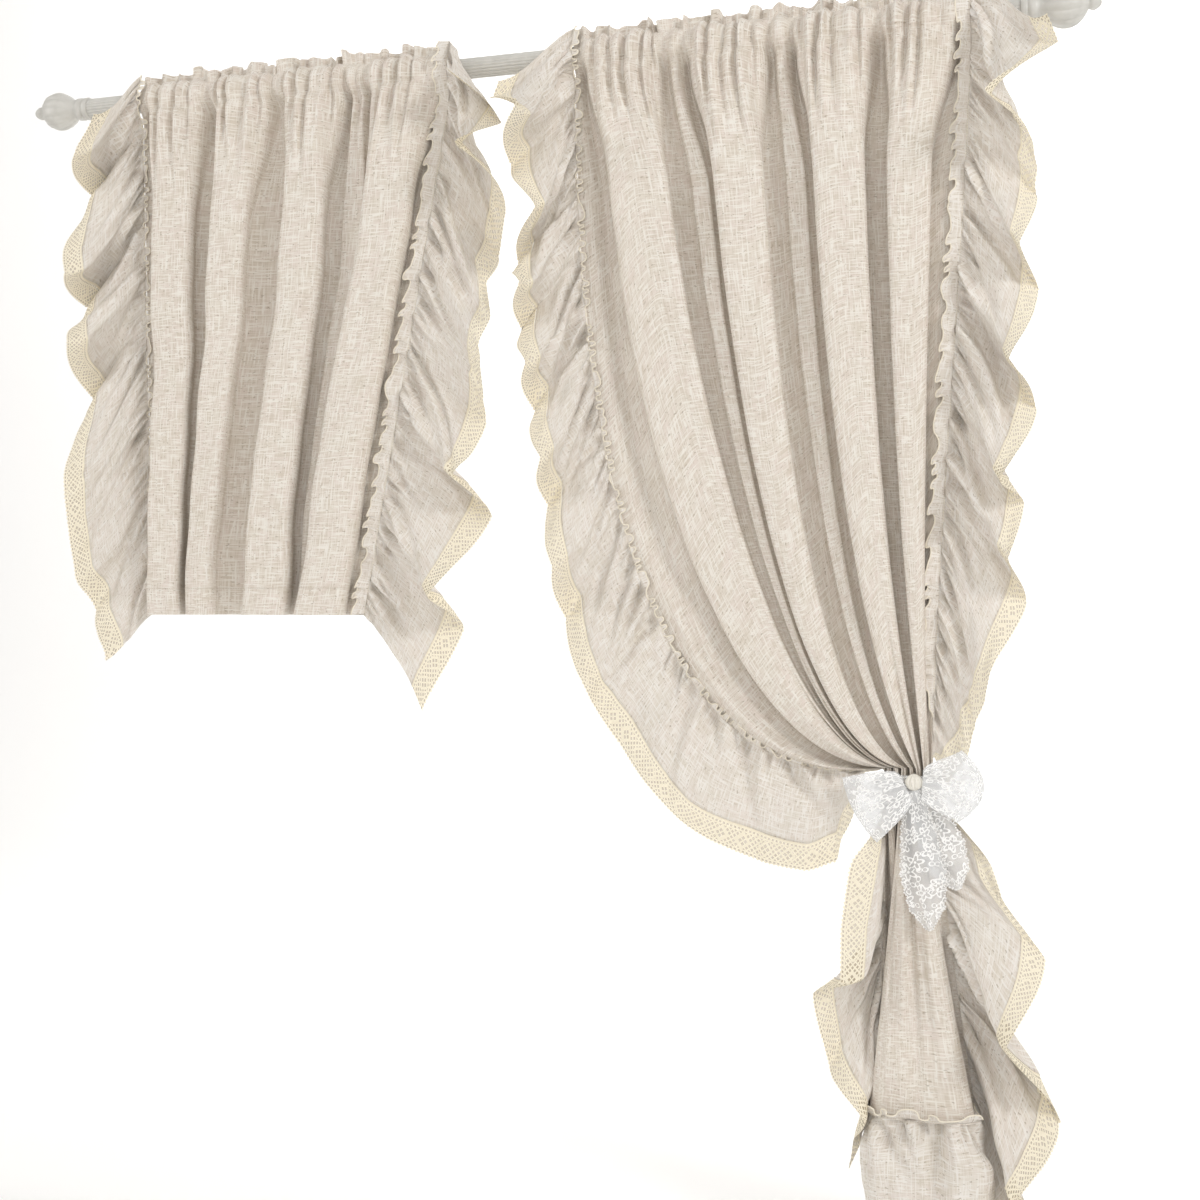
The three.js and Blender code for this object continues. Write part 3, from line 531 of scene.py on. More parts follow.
clothThick, seamGap = 2.0, 0.7
standOff = clothThick + seamGap  # how far a ruffle's seam is in front of the panel
edgeStrip, edgeDepth = 22, -4
valleyDepth, lastValley = 11, -4
weaveRow = 60  # the row whose lengths across the cloth set the weave for a whole panel
pocket = dict(stitch=-36, front=-16, rows=39, gather=28, pitch=25, ruck=17, ripple=3.5, lean=6, lift=7,
              crestLift=8, sink=0.8, back=3.2, backRows=6, fade=130, slit=0.2, spread=190)
pocketRing = [  # round the rod from the back's stitching over the heading: depth, height, gather, ruck
    (0, -36, 0.5, 0), (14, -22, 0.8, 0), (20, 0, 0.8, 0), (10.5, 18, 0.6, 0.3), (2.2, 27, 0.2, 0.8),
    (1.6, 36, 0, 1), (0, 43, 0, 1.1), (-1.6, 36, 0, 1), (-3, 27, 0.3, 0.8), (-11.5, 18, 0.8, 0.3),
    (-19, 0, 1, 0), (-19, -22, 1, 0), (-16, -36, 1, 0)]
foldSection = [  # share of a fold's width, share of its depth
    (0.12, 0), (0.03, 0.4), (-0.02, 0.78), (0.1, 0.97), (0.5, 1), (0.9, 0.97), (1.02, 0.78),
    (0.97, 0.4), (0.88, 0)]

shortSize = dict(left=-664, right=-104, hemLeft=-646, hemRight=-254, hem=-860, hemFull=1.06, columns=440,
                 rows=120, sway=5, swayRun=420, crumple=2.2, crumpleRun=150)
shortFolds = [  # feet under the rod and at the hem, and the crown's depth
    (-622, -549, -630, -576, -46), (-502, -430, -564, -523, -44), (-360, -292, -459, -386, -48),
    (-263, -222, -380, -366, -12), (-207, -129, -360, -280, -52)]

longSize = dict(left=104, right=702, foot=-1580, tail=632, tailOut=55, columns=480, rows=105, tailRows=40,
                crumple=2.2, crumpleRun=160, tailCrumple=1.8, tailRun=130)
longFolds = [  # feet under the rod, crown, and the handles of the curve down to the tie
    (158, 241, -44, 37, 450, -176, 30), (276, 304, -16, 26, 440, -170, 28),
    (320, 397, -50, 16, 440, -161, 27), (426, 456, -14, 12, 420, -110, 120),
    (473, 549, -48, 10, 400, -58, 240), (586, 652, -46, -6, 400, -18, 240)]
longEdges = [(-1, 740, -292, -62), (-14, 340, 8, 320)]  # the same handles at the two edges
tieSize = dict(x=612, z=-1078, half=34, depth=18, pleats=17, pleatDepth=3.2)
tieCreases = [  # cloth length from the left edge, where it starts and is fullest, height, width
    (30, 0.42, 0.62, -27, 15), (66, 0.42, 0.62, 13, 11), (136, 0.6, 0.9, -12, 15),
    (176, 0.66, 0.9, 8, 11), (262, 0.5, 0.8, -7, 16), (330, 0.62, 0.9, 7, 11),
    (470, 0.66, 0.92, -6, 12), (560, 0.6, 0.9, 6, 11), (700, 0.66, 0.92, -6, 12),
    (790, 0.7, 0.92, 5, 10)]
tailHalf = [(-70, 50), (-32, 49), (-12, 35), (-30, 20), (-60, 14), (-76, -8), (-58, -28), (0, -33)]


def foldLine(left, right, feet, crowns):  # control points across a panel: place and depth
    line = [(left, edgeDepth), (left + edgeStrip, edgeDepth)]
    before = left + edgeStrip
    for (a, b), crown in zip(feet, crowns):
        line.append(((before + a) / 2, valleyDepth))
        line += [(mix(a, b, t), share * crown) for t, share in foldSection]
        before = b
    line.append(((before + right - edgeStrip) / 2, lastValley))
    return np.array(line + [(right - edgeStrip, edgeDepth), (right, edgeDepth)], float)


def evenColumns(line, count):  # places along a line at even cloth lengths, and those lengths
    fine = np.linspace(0, len(line) - 1, 4000)
    run = lengths(spline(line, fine))
    even = np.linspace(0, run[-1], count)
    return np.interp(even, run, fine), even


def edgeTaper(x, left, right, start=12, width=34):  # 0 along a panel's edges, 1 inside
    return ease((x - left - start) / width) * ease((right - start - x) / width)


def crownShare(depth):  # 1 on a fold's crown, 0 in the valleys
    return np.clip((5 - depth) / 45, 0, 1)


def gathered(depth, place, z, seed):  # uneven tubes with slits between, fuller on the crowns
    wander = place + 0.1 * (z - pocket["stitch"]) * waver(place, 70, seed + 9)
    crown = crownShare(depth)
    return 0.2 * crown + 0.9 * gathers(wander, pocket["pitch"], seed, 1.1) * (0.3 + 0.7 * crown)


def headPlace(depth, left, right):  # under the heading the crowns spread and the valleys close to slits
    share = mix(pocket["slit"], 1, crownShare(depth))
    run = np.concatenate([[0], np.cumsum(share[1:] + share[:-1])])
    return mix(left, right, run / run[-1])


def pocketRows(place, fold, taper, hang, seed):  # cloth round the rod, gathered on it
    rows = []
    places = np.linspace(0, len(pocketRing) - 1, pocket["rows"] + 1)
    for at, (y, z, gather, ruck) in zip(places, spline(pocketRing, places)):
        crest = gathered(fold, place, z, seed) * taper
        out = (pocket["gather"] * crest * gather - pocket["sink"] * taper) / max(math.hypot(y, z), 1)
        ripple = pocket["ripple"] * waver(place, pocket["pitch"], seed + 3) * taper
        ruffled = (pocket["ruck"] * (2 * crest - taper) + ripple) * ruck
        lean = pocket["lean"] * waver(place, 60, seed + 5) * taper * ruck
        lift = pocket["lift"] * waver(place, 55, seed + 7) + pocket["crestLift"] * (crest - 0.5)
        near = gather * (1 - min(abs(z) / 40, 1)) if z < 20 else 0
        low = ease((-z - 4) / 32)  # under the rod the cloth turns into its hanging folds
        behind = pocket["back"] if at < pocket["backRows"] else 0
        depth = mix(y + out * y + ruffled, hang + behind, low)
        height = z + out * z * near * (1 - low) + lift * taper * ruck
        rows.append(np.stack([place + lean, depth, height], -1))
    return rows[:-1]


def gatheredTop(size, top, seed):  # a panel's columns at even cloth lengths, and its rows round the rod
    at, run = evenColumns(top, size["columns"])
    x, fold = spline(top, at).T
    place = headPlace(fold, size["left"], size["right"])
    taper = edgeTaper(x, size["left"], size["right"])
    crest = gathered(fold, place, pocket["stitch"], seed) * taper
    fade = pocket["fade"] * (1 + 0.5 * waver(place, 60, seed + 2))

    def hang(depth, drop):  # fold depth under the stitching, with the gathers still in it
        start = mix(edgeDepth, pocket["front"], taper)
        folded = mix(start, depth, mix(0.7, 1, ease(drop / 110)))
        return folded - pocket["gather"] * (crest - 0.45) * taper * (1 - ease(drop / fade))

    rows = pocketRows(place, fold, taper, hang(fold, 0), seed)
    return at, run, x, fold, place, taper, hang, rows


def shortPanel():
    size = shortSize
    feet = np.array(shortFolds, float)
    top = foldLine(size["left"], size["right"], feet[:, 0:2], feet[:, 4])
    hem = foldLine(size["hemLeft"], size["hemRight"], feet[:, 2:4], feet[:, 4] * size["hemFull"])
    at, run, x0, fold, place, taper, hang, rows = gatheredTop(size, top, 11)
    hemX, hemFold = spline(hem, at).T
    for t in np.linspace(0, 1, size["rows"]) ** 1.25:
        drop = t * (pocket["stitch"] - size["hem"])
        sway = size["sway"] * waver(drop + x0 * 0.4, size["swayRun"], 23) * taper * ease(drop / 200)
        uneven = size["crumple"] * crumple(run, drop, size["crumpleRun"], 31) * taper * ease(drop / 120)
        x = mix(mix(place, x0, ease(drop / pocket["spread"])), hemX, t) + sway
        depth = hang(mix(fold, hemFold, t), drop) + uneven
        rows.append(np.stack([x, depth, np.full_like(x0, pocket["stitch"] - drop)], -1))
    return np.array(rows)


def creased(run, t):  # soft troughs and ridges that run into the tie
    total = 0
    for middle, start, full, height, width in tieCreases:
        share = ease((t - start) / (full - start)) * (1 - 0.7 * ease((t - 0.88) / 0.12))
        total = total + height * share * np.exp(-((run - middle) / width) ** 2)
    return total


def tiePleats(depths):  # depth at the tie of each control point across the panel
    deep, inside = tieSize["depth"], slice(2, -2)
    pleat = np.where(depths < edgeDepth, -deep, np.where(depths > edgeDepth, deep * 0.6, edgeDepth))
    shallow = (depths[inside] <= 0) & (depths[inside] > -6)
    pleat[inside] = np.where(shallow, -3, pleat[inside])
    return pleat


def longPanel():
    size, tie = longSize, tieSize
    table = np.array(longFolds, float)
    top = foldLine(size["left"], size["right"], table[:, 0:2], table[:, 2])
    at, run, x0, fold, place, taper, hang, rows = gatheredTop(size, top, 12)
    share = at / (len(top) - 1)
    stations = np.column_stack([np.concatenate([[size["left"]], table[:, 0:2].mean(1), [size["right"]]]),
                                np.concatenate([[longEdges[0]], table[:, 3:7], [longEdges[1]]])])
    _, lean, fall, pullX, pullZ = alongTable(stations, x0)
    waistX = tie["x"] + tie["half"] * (2 * share - 1)
    waistY = spline(tiePleats(top[:, 1])[:, None], at, 0.35)[:, 0]
    pinch = tie["pleatDepth"] * np.sin(share * tau * tie["pleats"] + 1.5 * waver(share, 0.2, 3)) * taper
    begin, end = pocket["stitch"], tie["z"]
    softer = mix(0.5, 1, ease((share - 0.2) / 0.4))  # folds flatten more to the left
    for t in np.linspace(0, 1, size["rows"]):
        z = bezier(t, begin, begin - fall, end + pullZ, end)
        drop = begin - z
        upperX = mix(place, x0, ease(drop / pocket["spread"]))
        x = bezier(t, upperX, upperX + lean, waistX + pullX, waistX)
        near = ease((t - 0.55) / 0.45)
        flattened = fold * mix(1, softer, ease((t - 0.15) / 0.5))
        uneven = size["crumple"] * crumple(run, drop, size["crumpleRun"], 37) * taper * ease(drop / 120)
        depth = mix(hang(flattened, drop), waistY, near) + uneven * (1 - near)
        depth += pinch * ease((t - 0.7) / 0.3) * (1 - 0.5 * near) + creased(run, t) * ease((run - 4) / 16)
        rows.append(np.stack([x, depth, z], -1))
    tail = tailHalf + [(-x, y) for x, y in tailHalf[-2::-1]]
    footX, footY = spline(tail, share * (len(tail) - 1)).T
    for t in np.linspace(0, 1, size["tailRows"] + 1)[1:]:
        spread = t**1.2
        x = mix(waistX, size["tail"] + footX, spread)
        y = mix(waistY, footY, spread) + 0.9 * pinch * (1 - ease(t / 0.5)) ** 1.5
        y += size["tailCrumple"] * crumple(run, t * 500, size["tailRun"], 41) * taper * ease(t / 0.3)
        rows.append(np.stack([x, y, np.full_like(x, mix(end, size["foot"], t))], -1))
    return np.array(rows)


def hangPanel(name, grid, cadNode):
    uv = flatUv(lengths(grid, 1)[weaveRow], lengths(grid).mean(1)[:, None])
    piece = clothPiece(name, grid, uv, linen)
    print(name, "area", round(areaOf(grid) * 1e-6, 3))
    return dress(piece, "linen", cadNode)


shortGrid, longGrid = shortPanel(), longPanel()
shortPiece = hangPanel("shortPanelPiece", shortGrid, "short_panel")
longPiece = hangPanel("longPanelPiece", longGrid, "long_panel")
print("panels made")


# ruffles with their frill and lace

ruffleSize = dict(cloth=143, lace=42, laceShown=45, step=2.2, crisp=0.5, lap=0.45, thick=0.9, over=0.9,
                  clothColumns=24, laceColumns=9, laceMiddle=6, fullness=1.3, gather=2.5, gatherPitch=38,
                  crumple=2.4, crumpleRun=95, least=0.12)
# flutes down a seam: place, swing to the room, curl to the edge, droop at the seam, sag at the edge, reach
shortLeftFlutes = [
    (0, 0.9, 0.3, 0.7, 1, 0.5), (40, 0.8, 0.2, 0.75, 1.1, 0.76), (92, -0.2, -0.5, 0.65, 1, 0.9),
    (120, 0.6, -1.2, 0.65, 1, 0.8), (185, 0.9, -0.6, 0.7, 1.05, 0.92), (220, 0.8, 0, 0.7, 1.05, 0.93),
    (262, -0.1, -0.4, 0.65, 1, 1), (290, 0.6, -1.2, 0.65, 1, 0.86), (345, 0.9, -0.3, 0.65, 1, 0.86),
    (420, -0.1, -0.3, 0.65, 1, 0.98), (455, 0.6, -1.2, 0.65, 1, 0.86), (560, 0.9, -0.6, 0.65, 1, 0.92),
    (620, 0.6, 0, 0.65, 1.05, 0.95), (720, 0.4, 0.1, 0.65, 1.05, 0.92), (790, 0.1, 0, 0.65, 1.05, 0.8),
    (900, 0.5, 0.4, 0.6, 1, 0.45)]
shortRightFlutes = [
    (0, 0.9, 0.4, 0.5, 0.8, 0.6), (32, 0, 0.3, 0.7, 1, 0.82), (78, 0.65, 0.7, 0.65, 0.95, 0.92),
    (140, -0.4, 0.2, 0.85, 1.15, 0.89), (215, -0.5, 0.2, 0.8, 1.15, 0.86),
    (252, -0.1, 0.3, 0.85, 1.15, 0.91), (300, 0.1, 0.3, 0.75, 1.02, 1.07),
    (350, 0.2, 0.3, 0.74, 1, 1.06), (420, 0.05, 0.3, 0.66, 0.95, 1),
    (500, -0.2, 0.3, 0.58, 0.85, 0.94), (590, 0.2, 0.6, 0.52, 0.8, 1.02),
    (640, -0.3, 0.3, 0.5, 0.8, 1.08), (760, 0.2, 0.7, 0.6, 0.88, 1.05),
    (812, -0.3, 0.3, 0.62, 0.9, 1.05), (925, -0.1, 0.4, 0.82, 1.12, 1)]
longLeftFlutes = [
    (-1400, 0.5, 0.2, 0.5, 0.75, 0.6), (-1355, 0.3, 0.2, 0.5, 0.88, 0.86),
    (-1300, 1.1, 0.4, 0.4, 0.75, 0.82), (-1245, 0.1, 0.2, 0.55, 0.9, 0.68),
    (-1185, 1, 0.4, 0.8, 1.13, 0.72), (-1120, 0, 0.2, 0.72, 1.04, 0.78),
    (-1065, 0.7, 0.5, 0.62, 0.97, 0.78), (-1010, -0.1, 0.2, 0.64, 0.98, 0.76),
    (-940, 0.6, 0.5, 0.6, 0.95, 0.72), (-880, 0, -0.2, 0.65, 1, 0.71), (-800, 0.6, 0.5, 0.65, 1, 0.7),
    (-730, 0, -0.2, 0.65, 1, 0.72), (-640, 0.5, 0.4, 0.65, 1, 0.77), (-560, 0, -0.1, 0.65, 1, 0.83),
    (-470, 0.45, 0.3, 0.65, 1.05, 0.84), (-370, 0.1, 0.1, 0.75, 1.15, 0.84),
    (-260, 0.4, 0.3, 1, 1.35, 0.88), (-160, 0.1, 0.2, 1.25, 1.5, 0.85),
    (-100, 0.3, 0.2, 1.38, 1.58, 0.8), (-62, 0.1, 0.2, 1.4, 1.6, 0.68), (-46, 0.1, 0.2, 1.3, 1.5, 0.4),
    (-29, 0.1, 0.2, 1.3, 1.5, 0.02), (-10, 0.1, 0.2, 1.2, 1.4, 0.02), (0, 0.1, 0.2, 1.1, 1.3, 0.02),
    (10, 0, 0.2, 1, 1.2, 0.02), (36, 1.2, -1.2, 0.9, 0.5, 0.03), (70, 2, -2.2, 1, 0.3, 0.06),
    (115, 2.1, -2.3, 1, 0.2, 0.22), (150, 2.1, -2.3, 1.05, 0.4, 0.5), (195, 2.1, -2.3, 1.1, 0.6, 0.64),
    (235, 0.3, -0.2, 0.65, 0.92, 0.74), (300, 0.1, 0.1, 1, 1.2, 0.9), (375, 1.1, 0.4, 1.2, 1.38, 0.7),
    (430, 0.2, 0.2, 1.2, 1.36, 0.7), (510, 0.3, 0.3, 1, 1.2, 0.45)]
longRightFlutes = [
    (-1160, 0.6, 0.3, 0.3, 0.7, 0.8), (-1105, 0.3, 0.4, 0.4, 0.8, 0.95),
    (-1055, 0.7, 1.1, 0.65, 1, 0.88), (-1000, 0.1, 0.5, 0.7, 1.05, 0.8),
    (-930, -0.1, 0.3, 0.7, 1.05, 0.82), (-870, 0.35, 0.5, 0.75, 1.1, 0.9),
    (-810, -0.1, 0.3, 0.7, 1.05, 0.9), (-720, 0.4, 0.7, 0.75, 1.1, 0.98),
    (-650, -0.1, 0.3, 0.7, 1.05, 0.96), (-560, 0.45, 0.7, 0.75, 1.1, 1),
    (-510, 0, 0.4, 0.7, 1.05, 0.92), (-450, 0.3, 0.5, 0.75, 1.1, 1),
    (-395, -0.1, 0.3, 0.75, 1.1, 1.04), (-280, 0.3, 0.4, 0.85, 1.2, 0.9),
    (-140, 0.1, 0.2, 1, 1.3, 0.6), (-60, 0, 0.1, 1.1, 1.3, 0.28), (-24, 0, 0.1, 1.2, 1.4, 0.03),
    (-10, 0, 0.1, 1.1, 1.3, 0.03), (0, 0, 0.2, 0.9, 1.1, 0.03), (10, 0, 0.2, 0.7, 1, 0.03),
    (38, 0, 0.3, 0.5, 0.8, 0.04), (62, -0.2, 0.2, 0.6, 0.9, 0.5), (110, -0.2, 0.3, 0.5, 0.8, 0.52),
    (165, -0.15, 0.3, 0.48, 0.75, 0.95), (240, 0.5, 0.6, 0.65, 0.96, 0.98),
    (330, -0.25, 0.3, 0.75, 1.06, 1.25), (415, 0.5, 0.6, 0.9, 1.19, 1.15),
    (470, 0.1, 0.4, 0.95, 1.25, 1.12), (515, 0.8, 0.4, 1.3, 1.5, 1)]


seamOver = [  # the seam in front of the pocket: depth and height
    (-10, 43), (-15, 26), (-21.5, 14), (-21 - standOff, 0), (-17.5 - standOff, -14),
    (edgeDepth - standOff - 8, -27)]


def seamOf(grid, column):  # the line a ruffle is sewn along, over the pocket and down the edge
    edge = grid[pocket["rows"]:, column] + (0, -standOff, 0)
    edge[0, 1] -= 2
    top = np.column_stack([np.full(len(seamOver), edge[0, 0]), seamOver])
    coarse = np.concatenate([top, edge[:1], edge[2:]])
    return spline(coarse, np.linspace(0, len(coarse) - 1, 6000), 0.4)


puckers = [(32, 17, 9, 5.5), (95, 57, 13, 12)]  # length, how far apart, depth, width


def seamCreases(s, r, seed):  # slanted puckers out from the seam, each a trough with a ridge beside it
    draw = np.random.default_rng(seed)
    relief = 0
    for length, every, depth, width in puckers:
        for k in range(int(s.max() / every)):
            middle, slant = (k + draw.uniform(0.2, 0.8)) * every, draw.uniform(-0.1, 0.8)
            far, deep, wide = (v * draw.uniform(0.6, 1.4) for v in (length, depth, width))
            q = (s - middle - slant * r) / wide
            section = 0.6 * np.exp(-(q - 1.6) ** 2) - np.exp(-q * q)
            relief = relief + deep * np.exp(-(r / far) ** 2) * section
    return relief * (1 - np.exp(-r / 3))


frillSize = dict(step=1.6, rows=9, thick=0.8, fade=60)
frillEnds = dict(longRuffleLeft=-25, longRuffleRight=-75)  # from the tie; the others run to the seam's end
frillLooks = dict(  # pitch of the loops, how wide the frill is, its tilt over the panel, sway, droop, lift
    shortRuffleLeft=(21, 5, 1.3, 5, 0, 0.8),
    shortRuffleRight=(34, 18, 1.33, 3.4, 4, 2.6),
    longRuffleLeft=(19, 5, 1.3, 5, 0, 0.8),
    longRuffleRight=(35, 18, 1.33, 3.4, 4, 2.6),
    footRuffle=(38, 10, 0.9, 5, 0, 3))


def frill(name, line, inward, room, shown, seed):  # the ruffle's own edge, in loops beside the seam
    pitch, wide, tilt, sway, droop, high = frillLooks[name]
    s, shown = lengths(line)[:, None], shown[:, None]
    w = np.linspace(0, 1, frillSize["rows"])[None]
    turn = tau * s / pitch + 4 * waver(s, pitch * 4.5, seed)
    loop = sway * (1 + 0.45 * waver(s, pitch * 2.7, seed + 1)) * np.cos(turn) * w**0.75
    up = wide * (1 + 0.14 * waver(s, pitch * 1.7, seed + 2)) * w
    lie = tilt + 0.25 * waver(s, pitch * 3.1, seed + 3)
    across = (up * np.sin(lie) + loop) * shown
    height = mix(w, up * np.cos(lie) + high * (1 + np.sin(turn + 0.6)) * w**0.6, shown) + 0.6
    slide = (0.06 * pitch * np.sin(2 * turn) + droop * np.cos(turn)) * w**1.3 * shown
    along = unit(np.gradient(line, axis=0))
    grid = (line[:, None] + inward[:, None] * across[..., None] + along[:, None] * slide[..., None]
            + room[:, None] * height[..., None])
    uv = flatUv(-wide * w, s * ruffleSize["fullness"])
    piece = clothPiece(name + "Frill", grid, uv, ruffleLinen, frillSize["thick"])
    edge = grow(name + "Overlock", laidThread, runs(grid[:, -1], shown[:, 0] > 0.02),
                {"Thread": sewingSize["overlock"] * mm, "Material": creamThread})
    return [dress(piece, "linen"), dress(edge, "linen")]


def ruffleSheets(name, laceName, cadNodes, strip, stripUv, trim, laceAcross, flip):
    clothSheet = clothPiece(name + "Piece", strip, stripUv, ruffleLinen, ruffleSize["thick"], flip)
    laceUv = flatUv(lengths(trim[:, ruffleSize["laceMiddle"]])[:, None], laceAcross)
    laceSheet = clothPiece(laceName + "Piece", trim, laceUv, trimLace, flip=flip)
    dress(clothSheet, "linen", cadNodes[0])
    dress(laceSheet, "lace", cadNodes[1])
    return dict(cloth=clothSheet, lace=laceSheet, areas=(areaOf(strip), areaOf(trim)))


def ruffle(name, line, side, flutes, origin, seed, cadNodes):
    size = ruffleSize
    run = lengths(line)
    s = np.linspace(0, run[-1], int(run[-1] / size["step"]))[:, None]
    base = resampled(line, run, s[:, 0])
    _, swing, curl, droop, sag, reach = alongTable(flutes, s - origin, size["crisp"])
    width = size["cloth"] + size["lace"]
    laceReach = np.maximum(reach, 0.85 * ease((reach - 0.02) / 0.22))  # the lace stays wide beside the tie
    laceStart = width - size["laceShown"] / np.clip(laceReach, 0.6, 1.1)
    r = np.concatenate([laceStart * np.linspace(0, 1, size["clothColumns"]) ** 1.2,
                        mix(laceStart, width, np.linspace(0.02, 1, size["laceColumns"]))], 1)

    def hung(r):  # a strip straight out from the seam, swung, curled and drooping
        turn = np.where(np.abs(curl) < 0.01, 0.01, curl) / width
        out = (np.sin(swing + turn * r) - np.sin(swing)) / turn
        front = (np.cos(swing) - np.cos(swing + turn * r)) / turn
        fall = mix(droop, sag, r / width / 2)
        down = r * np.sin(fall)
        depth = -front * np.cos(fall) - down * np.sin(0.35 * swing)
        return np.stack([side * out * np.cos(fall), depth, -down], -1)

    inner = hung(np.minimum(r, laceStart))
    surface = base[:, None] + inner * reach[..., None] + (hung(r) - inner) * laceReach[..., None]
    forward = np.minimum(surface[..., 1] - base[:, 1:2], 0)
    surface[..., 2] += size["lap"] * forward * np.sin(math.pi * r / width)  # flutes sag over the hollows
    normals = surfaceNormals(surface) * side
    broad = gathers(s + 6 * waver(r, 90, seed + 2), size["gatherPitch"], seed + 3) - 0.45
    bump = (seamCreases(s, r, seed) + size["gather"] * broad * np.exp(-r / 80) * (1 - np.exp(-r / 10))
            + size["crumple"] * crumple(s, r, size["crumpleRun"], seed + 4) * ease(r / 60))
    surface = surface + normals * (bump * ease((reach - 0.05) / 0.4))[..., None]

    fine = np.arange(0, run[-1], frillSize["step"])
    sewn = resampled(line, run, fine)
    heading = unit(np.gradient(sewn, axis=0))
    inward = unit(np.stack([side * heading[:, 2], np.zeros(len(fine)), -side * heading[:, 0]], -1))
    room = np.broadcast_to([0.0, -1.0, 0.0], sewn.shape)
    frillEnd = frillEnds[name] + origin if name in frillEnds else run[-1] + frillSize["fade"]
    shown = np.clip((frillEnd - fine) / frillSize["fade"], 0, 1)
    frillPieces = frill(name, sewn, inward, room, shown, seed + 6)

    joint = size["clothColumns"] - 1
    edge = surfaceNormals(surface) * side
    trim = surface[:, joint:] + edge[:, joint:] * size["over"]
    laceAcross = (r[:, joint:] - laceStart) / (width - laceStart) * size["lace"]
    stripUv = flatUv(r[:, :joint + 1], s * size["fullness"])
    made = ruffleSheets(name, name + "Lace", cadNodes, surface[:, :joint + 1], stripUv, trim, laceAcross,
                        side < 0)
    return dict(made, seam=surface[:, 0] + normals[:, 0] * size["over"],
                joint=trim[:, 0] + edge[:, joint] * 0.5, visible=reach[:, 0] > size["least"],
                frill=frillPieces)


tailLength = math.hypot(tieSize["z"] - longSize["foot"], longSize["tailOut"])
ruffles = {}
for curtain, hand, grid, flutes, seed in [
        ("short", "left", shortGrid, shortLeftFlutes, 101),
        ("short", "right", shortGrid, shortRightFlutes, 202),
        ("long", "left", longGrid, longLeftFlutes, 303),
        ("long", "right", longGrid, longRightFlutes, 404)]:
    name = f"{curtain}Ruffle{hand.title()}"
    column, side = (0, -1) if hand == "left" else (-1, 1)
    seam = seamOf(grid, column)
    origin = lengths(seam)[-1] - tailLength if curtain == "long" else 0  # long seams count from the tie
    cadNodes = f"{curtain}_ruffle_{hand}", f"{curtain}_lace_{hand}"
    ruffles[name] = ruffle(name, seam, side, flutes, origin, seed, cadNodes)
print("ruffles made")


# ruffle along the foot of the long curtain

footSize = dict(cloth=143, columns=20, seamUp=4, full=48, bulge=0.16, taper=0.2, spread=0.3, creases=1.3,
                gather=9, gatherPitch=44, crumple=1.6, crumpleRun=80)


def footRuffle(grid):
    size, tail, lace = footSize, longSize["tail"], ruffleSize["lace"]
    above, foot = grid[-4], grid[-1]
    keep = slice(2, -2)
    along = unit(np.gradient(foot, axis=0) * (1, 1, 0))
    out = np.stack([along[:, 1], -along[:, 0], np.zeros(len(foot))], -1)
    s = lengths(foot)[:, None]
    rise = unit(above - foot)
    base = foot + rise * size["seamUp"] + out * standOff
    r = np.concatenate([size["cloth"] * np.linspace(0, 1, size["columns"]) ** 1.15,
                        size["cloth"] + np.linspace(1, lace, ruffleSize["laceColumns"])])[None, :]
    aside = base[:, :1] - tail
    share = mix(0.3, 1, ease((40 - aside) / 80))  # fuller on its left side
    drawnIn = size["taper"] * ease((r - size["full"]) / size["cloth"])
    flare = (1 + share * (size["bulge"] * ease(r / size["full"]) - drawnIn)
             + size["spread"] * ease(aside / 60) * ease(r / 70))
    surface = np.stack([tail + aside * flare, base[:, 1:2] * flare, base[:, 2:3] - r], -1)
    broad = gathers(s + 4 * waver(r, 80, 66), size["gatherPitch"], 62) - 0.45
    bump = (size["creases"] * seamCreases(s, r, 61) + size["gather"] * broad * (1 - np.exp(-r / 14))
            + size["crumple"] * crumple(s, r, size["crumpleRun"], 63))
    surface = surface + out[:, None] * bump[..., None]

    fine = np.arange(0, s[-1, 0], frillSize["step"])
    sewn, upward, room = (resampled(v, s[:, 0], fine) for v in (base, rise, out))
    frillPieces = frill("footRuffle", sewn, upward, room, np.ones(len(fine)), 64)

    joint = size["columns"] - 1
    trim = (surface[:, joint:] + out[:, None] * ruffleSize["over"])[keep]
    stripUv = flatUv(s[keep] * ruffleSize["fullness"], r[:, :joint + 1])
    made = ruffleSheets("footRuffle", "footLace", ("long_ruffle_foot", "long_lace_foot"),
                        surface[keep, :joint + 1], stripUv, trim, r[:, joint:] - size["cloth"], True)
    return dict(made, seam=(surface[:, 0] + out * ruffleSize["over"])[keep],
                joint=trim[:, 0] + out[keep] * 0.5, visible=np.ones(len(trim), bool), frill=frillPieces)


ruffles["footRuffle"] = footRuffle(longGrid)
print("foot ruffle made")


# tie and bow

bandSize = dict(left=566, right=658, front=-19.3, back=12.9, round=12, top=-1088, height=22, skin=1.0,
                rows=12, columns=180, pleats=3.5, pleatDepth=0.55, thick=0.6)
knotSize = dict(x=624, z=-1096, radius=12, depth=11, pleats=11, pleatDepth=0.15)
loopSizes = dict(  # side, slope, length, width, how round the edge is
    left=(-1, 0.5, 84, 104, 0.1),
    right=(1, 0.06, 86, 104, 0.4))
loopRoot = 38  # width of a loop at the knot
endSizes = dict(  # place beside the knot's middle, slope, length, depth
    left=(-1, 0.12, 198, -3),
    right=(4, 0.4, 150, 4))
endRows = [(0, 18), (0.25, 48), (0.6, 66), (0.85, 50), (1, 8)]  # share of an end's length, width
scallopPitch = 13
bowGap = 0.3
knotY = bandSize["front"] - clothThick - bowGap - knotSize["depth"]
toWall = np.array([0, 1, 0])


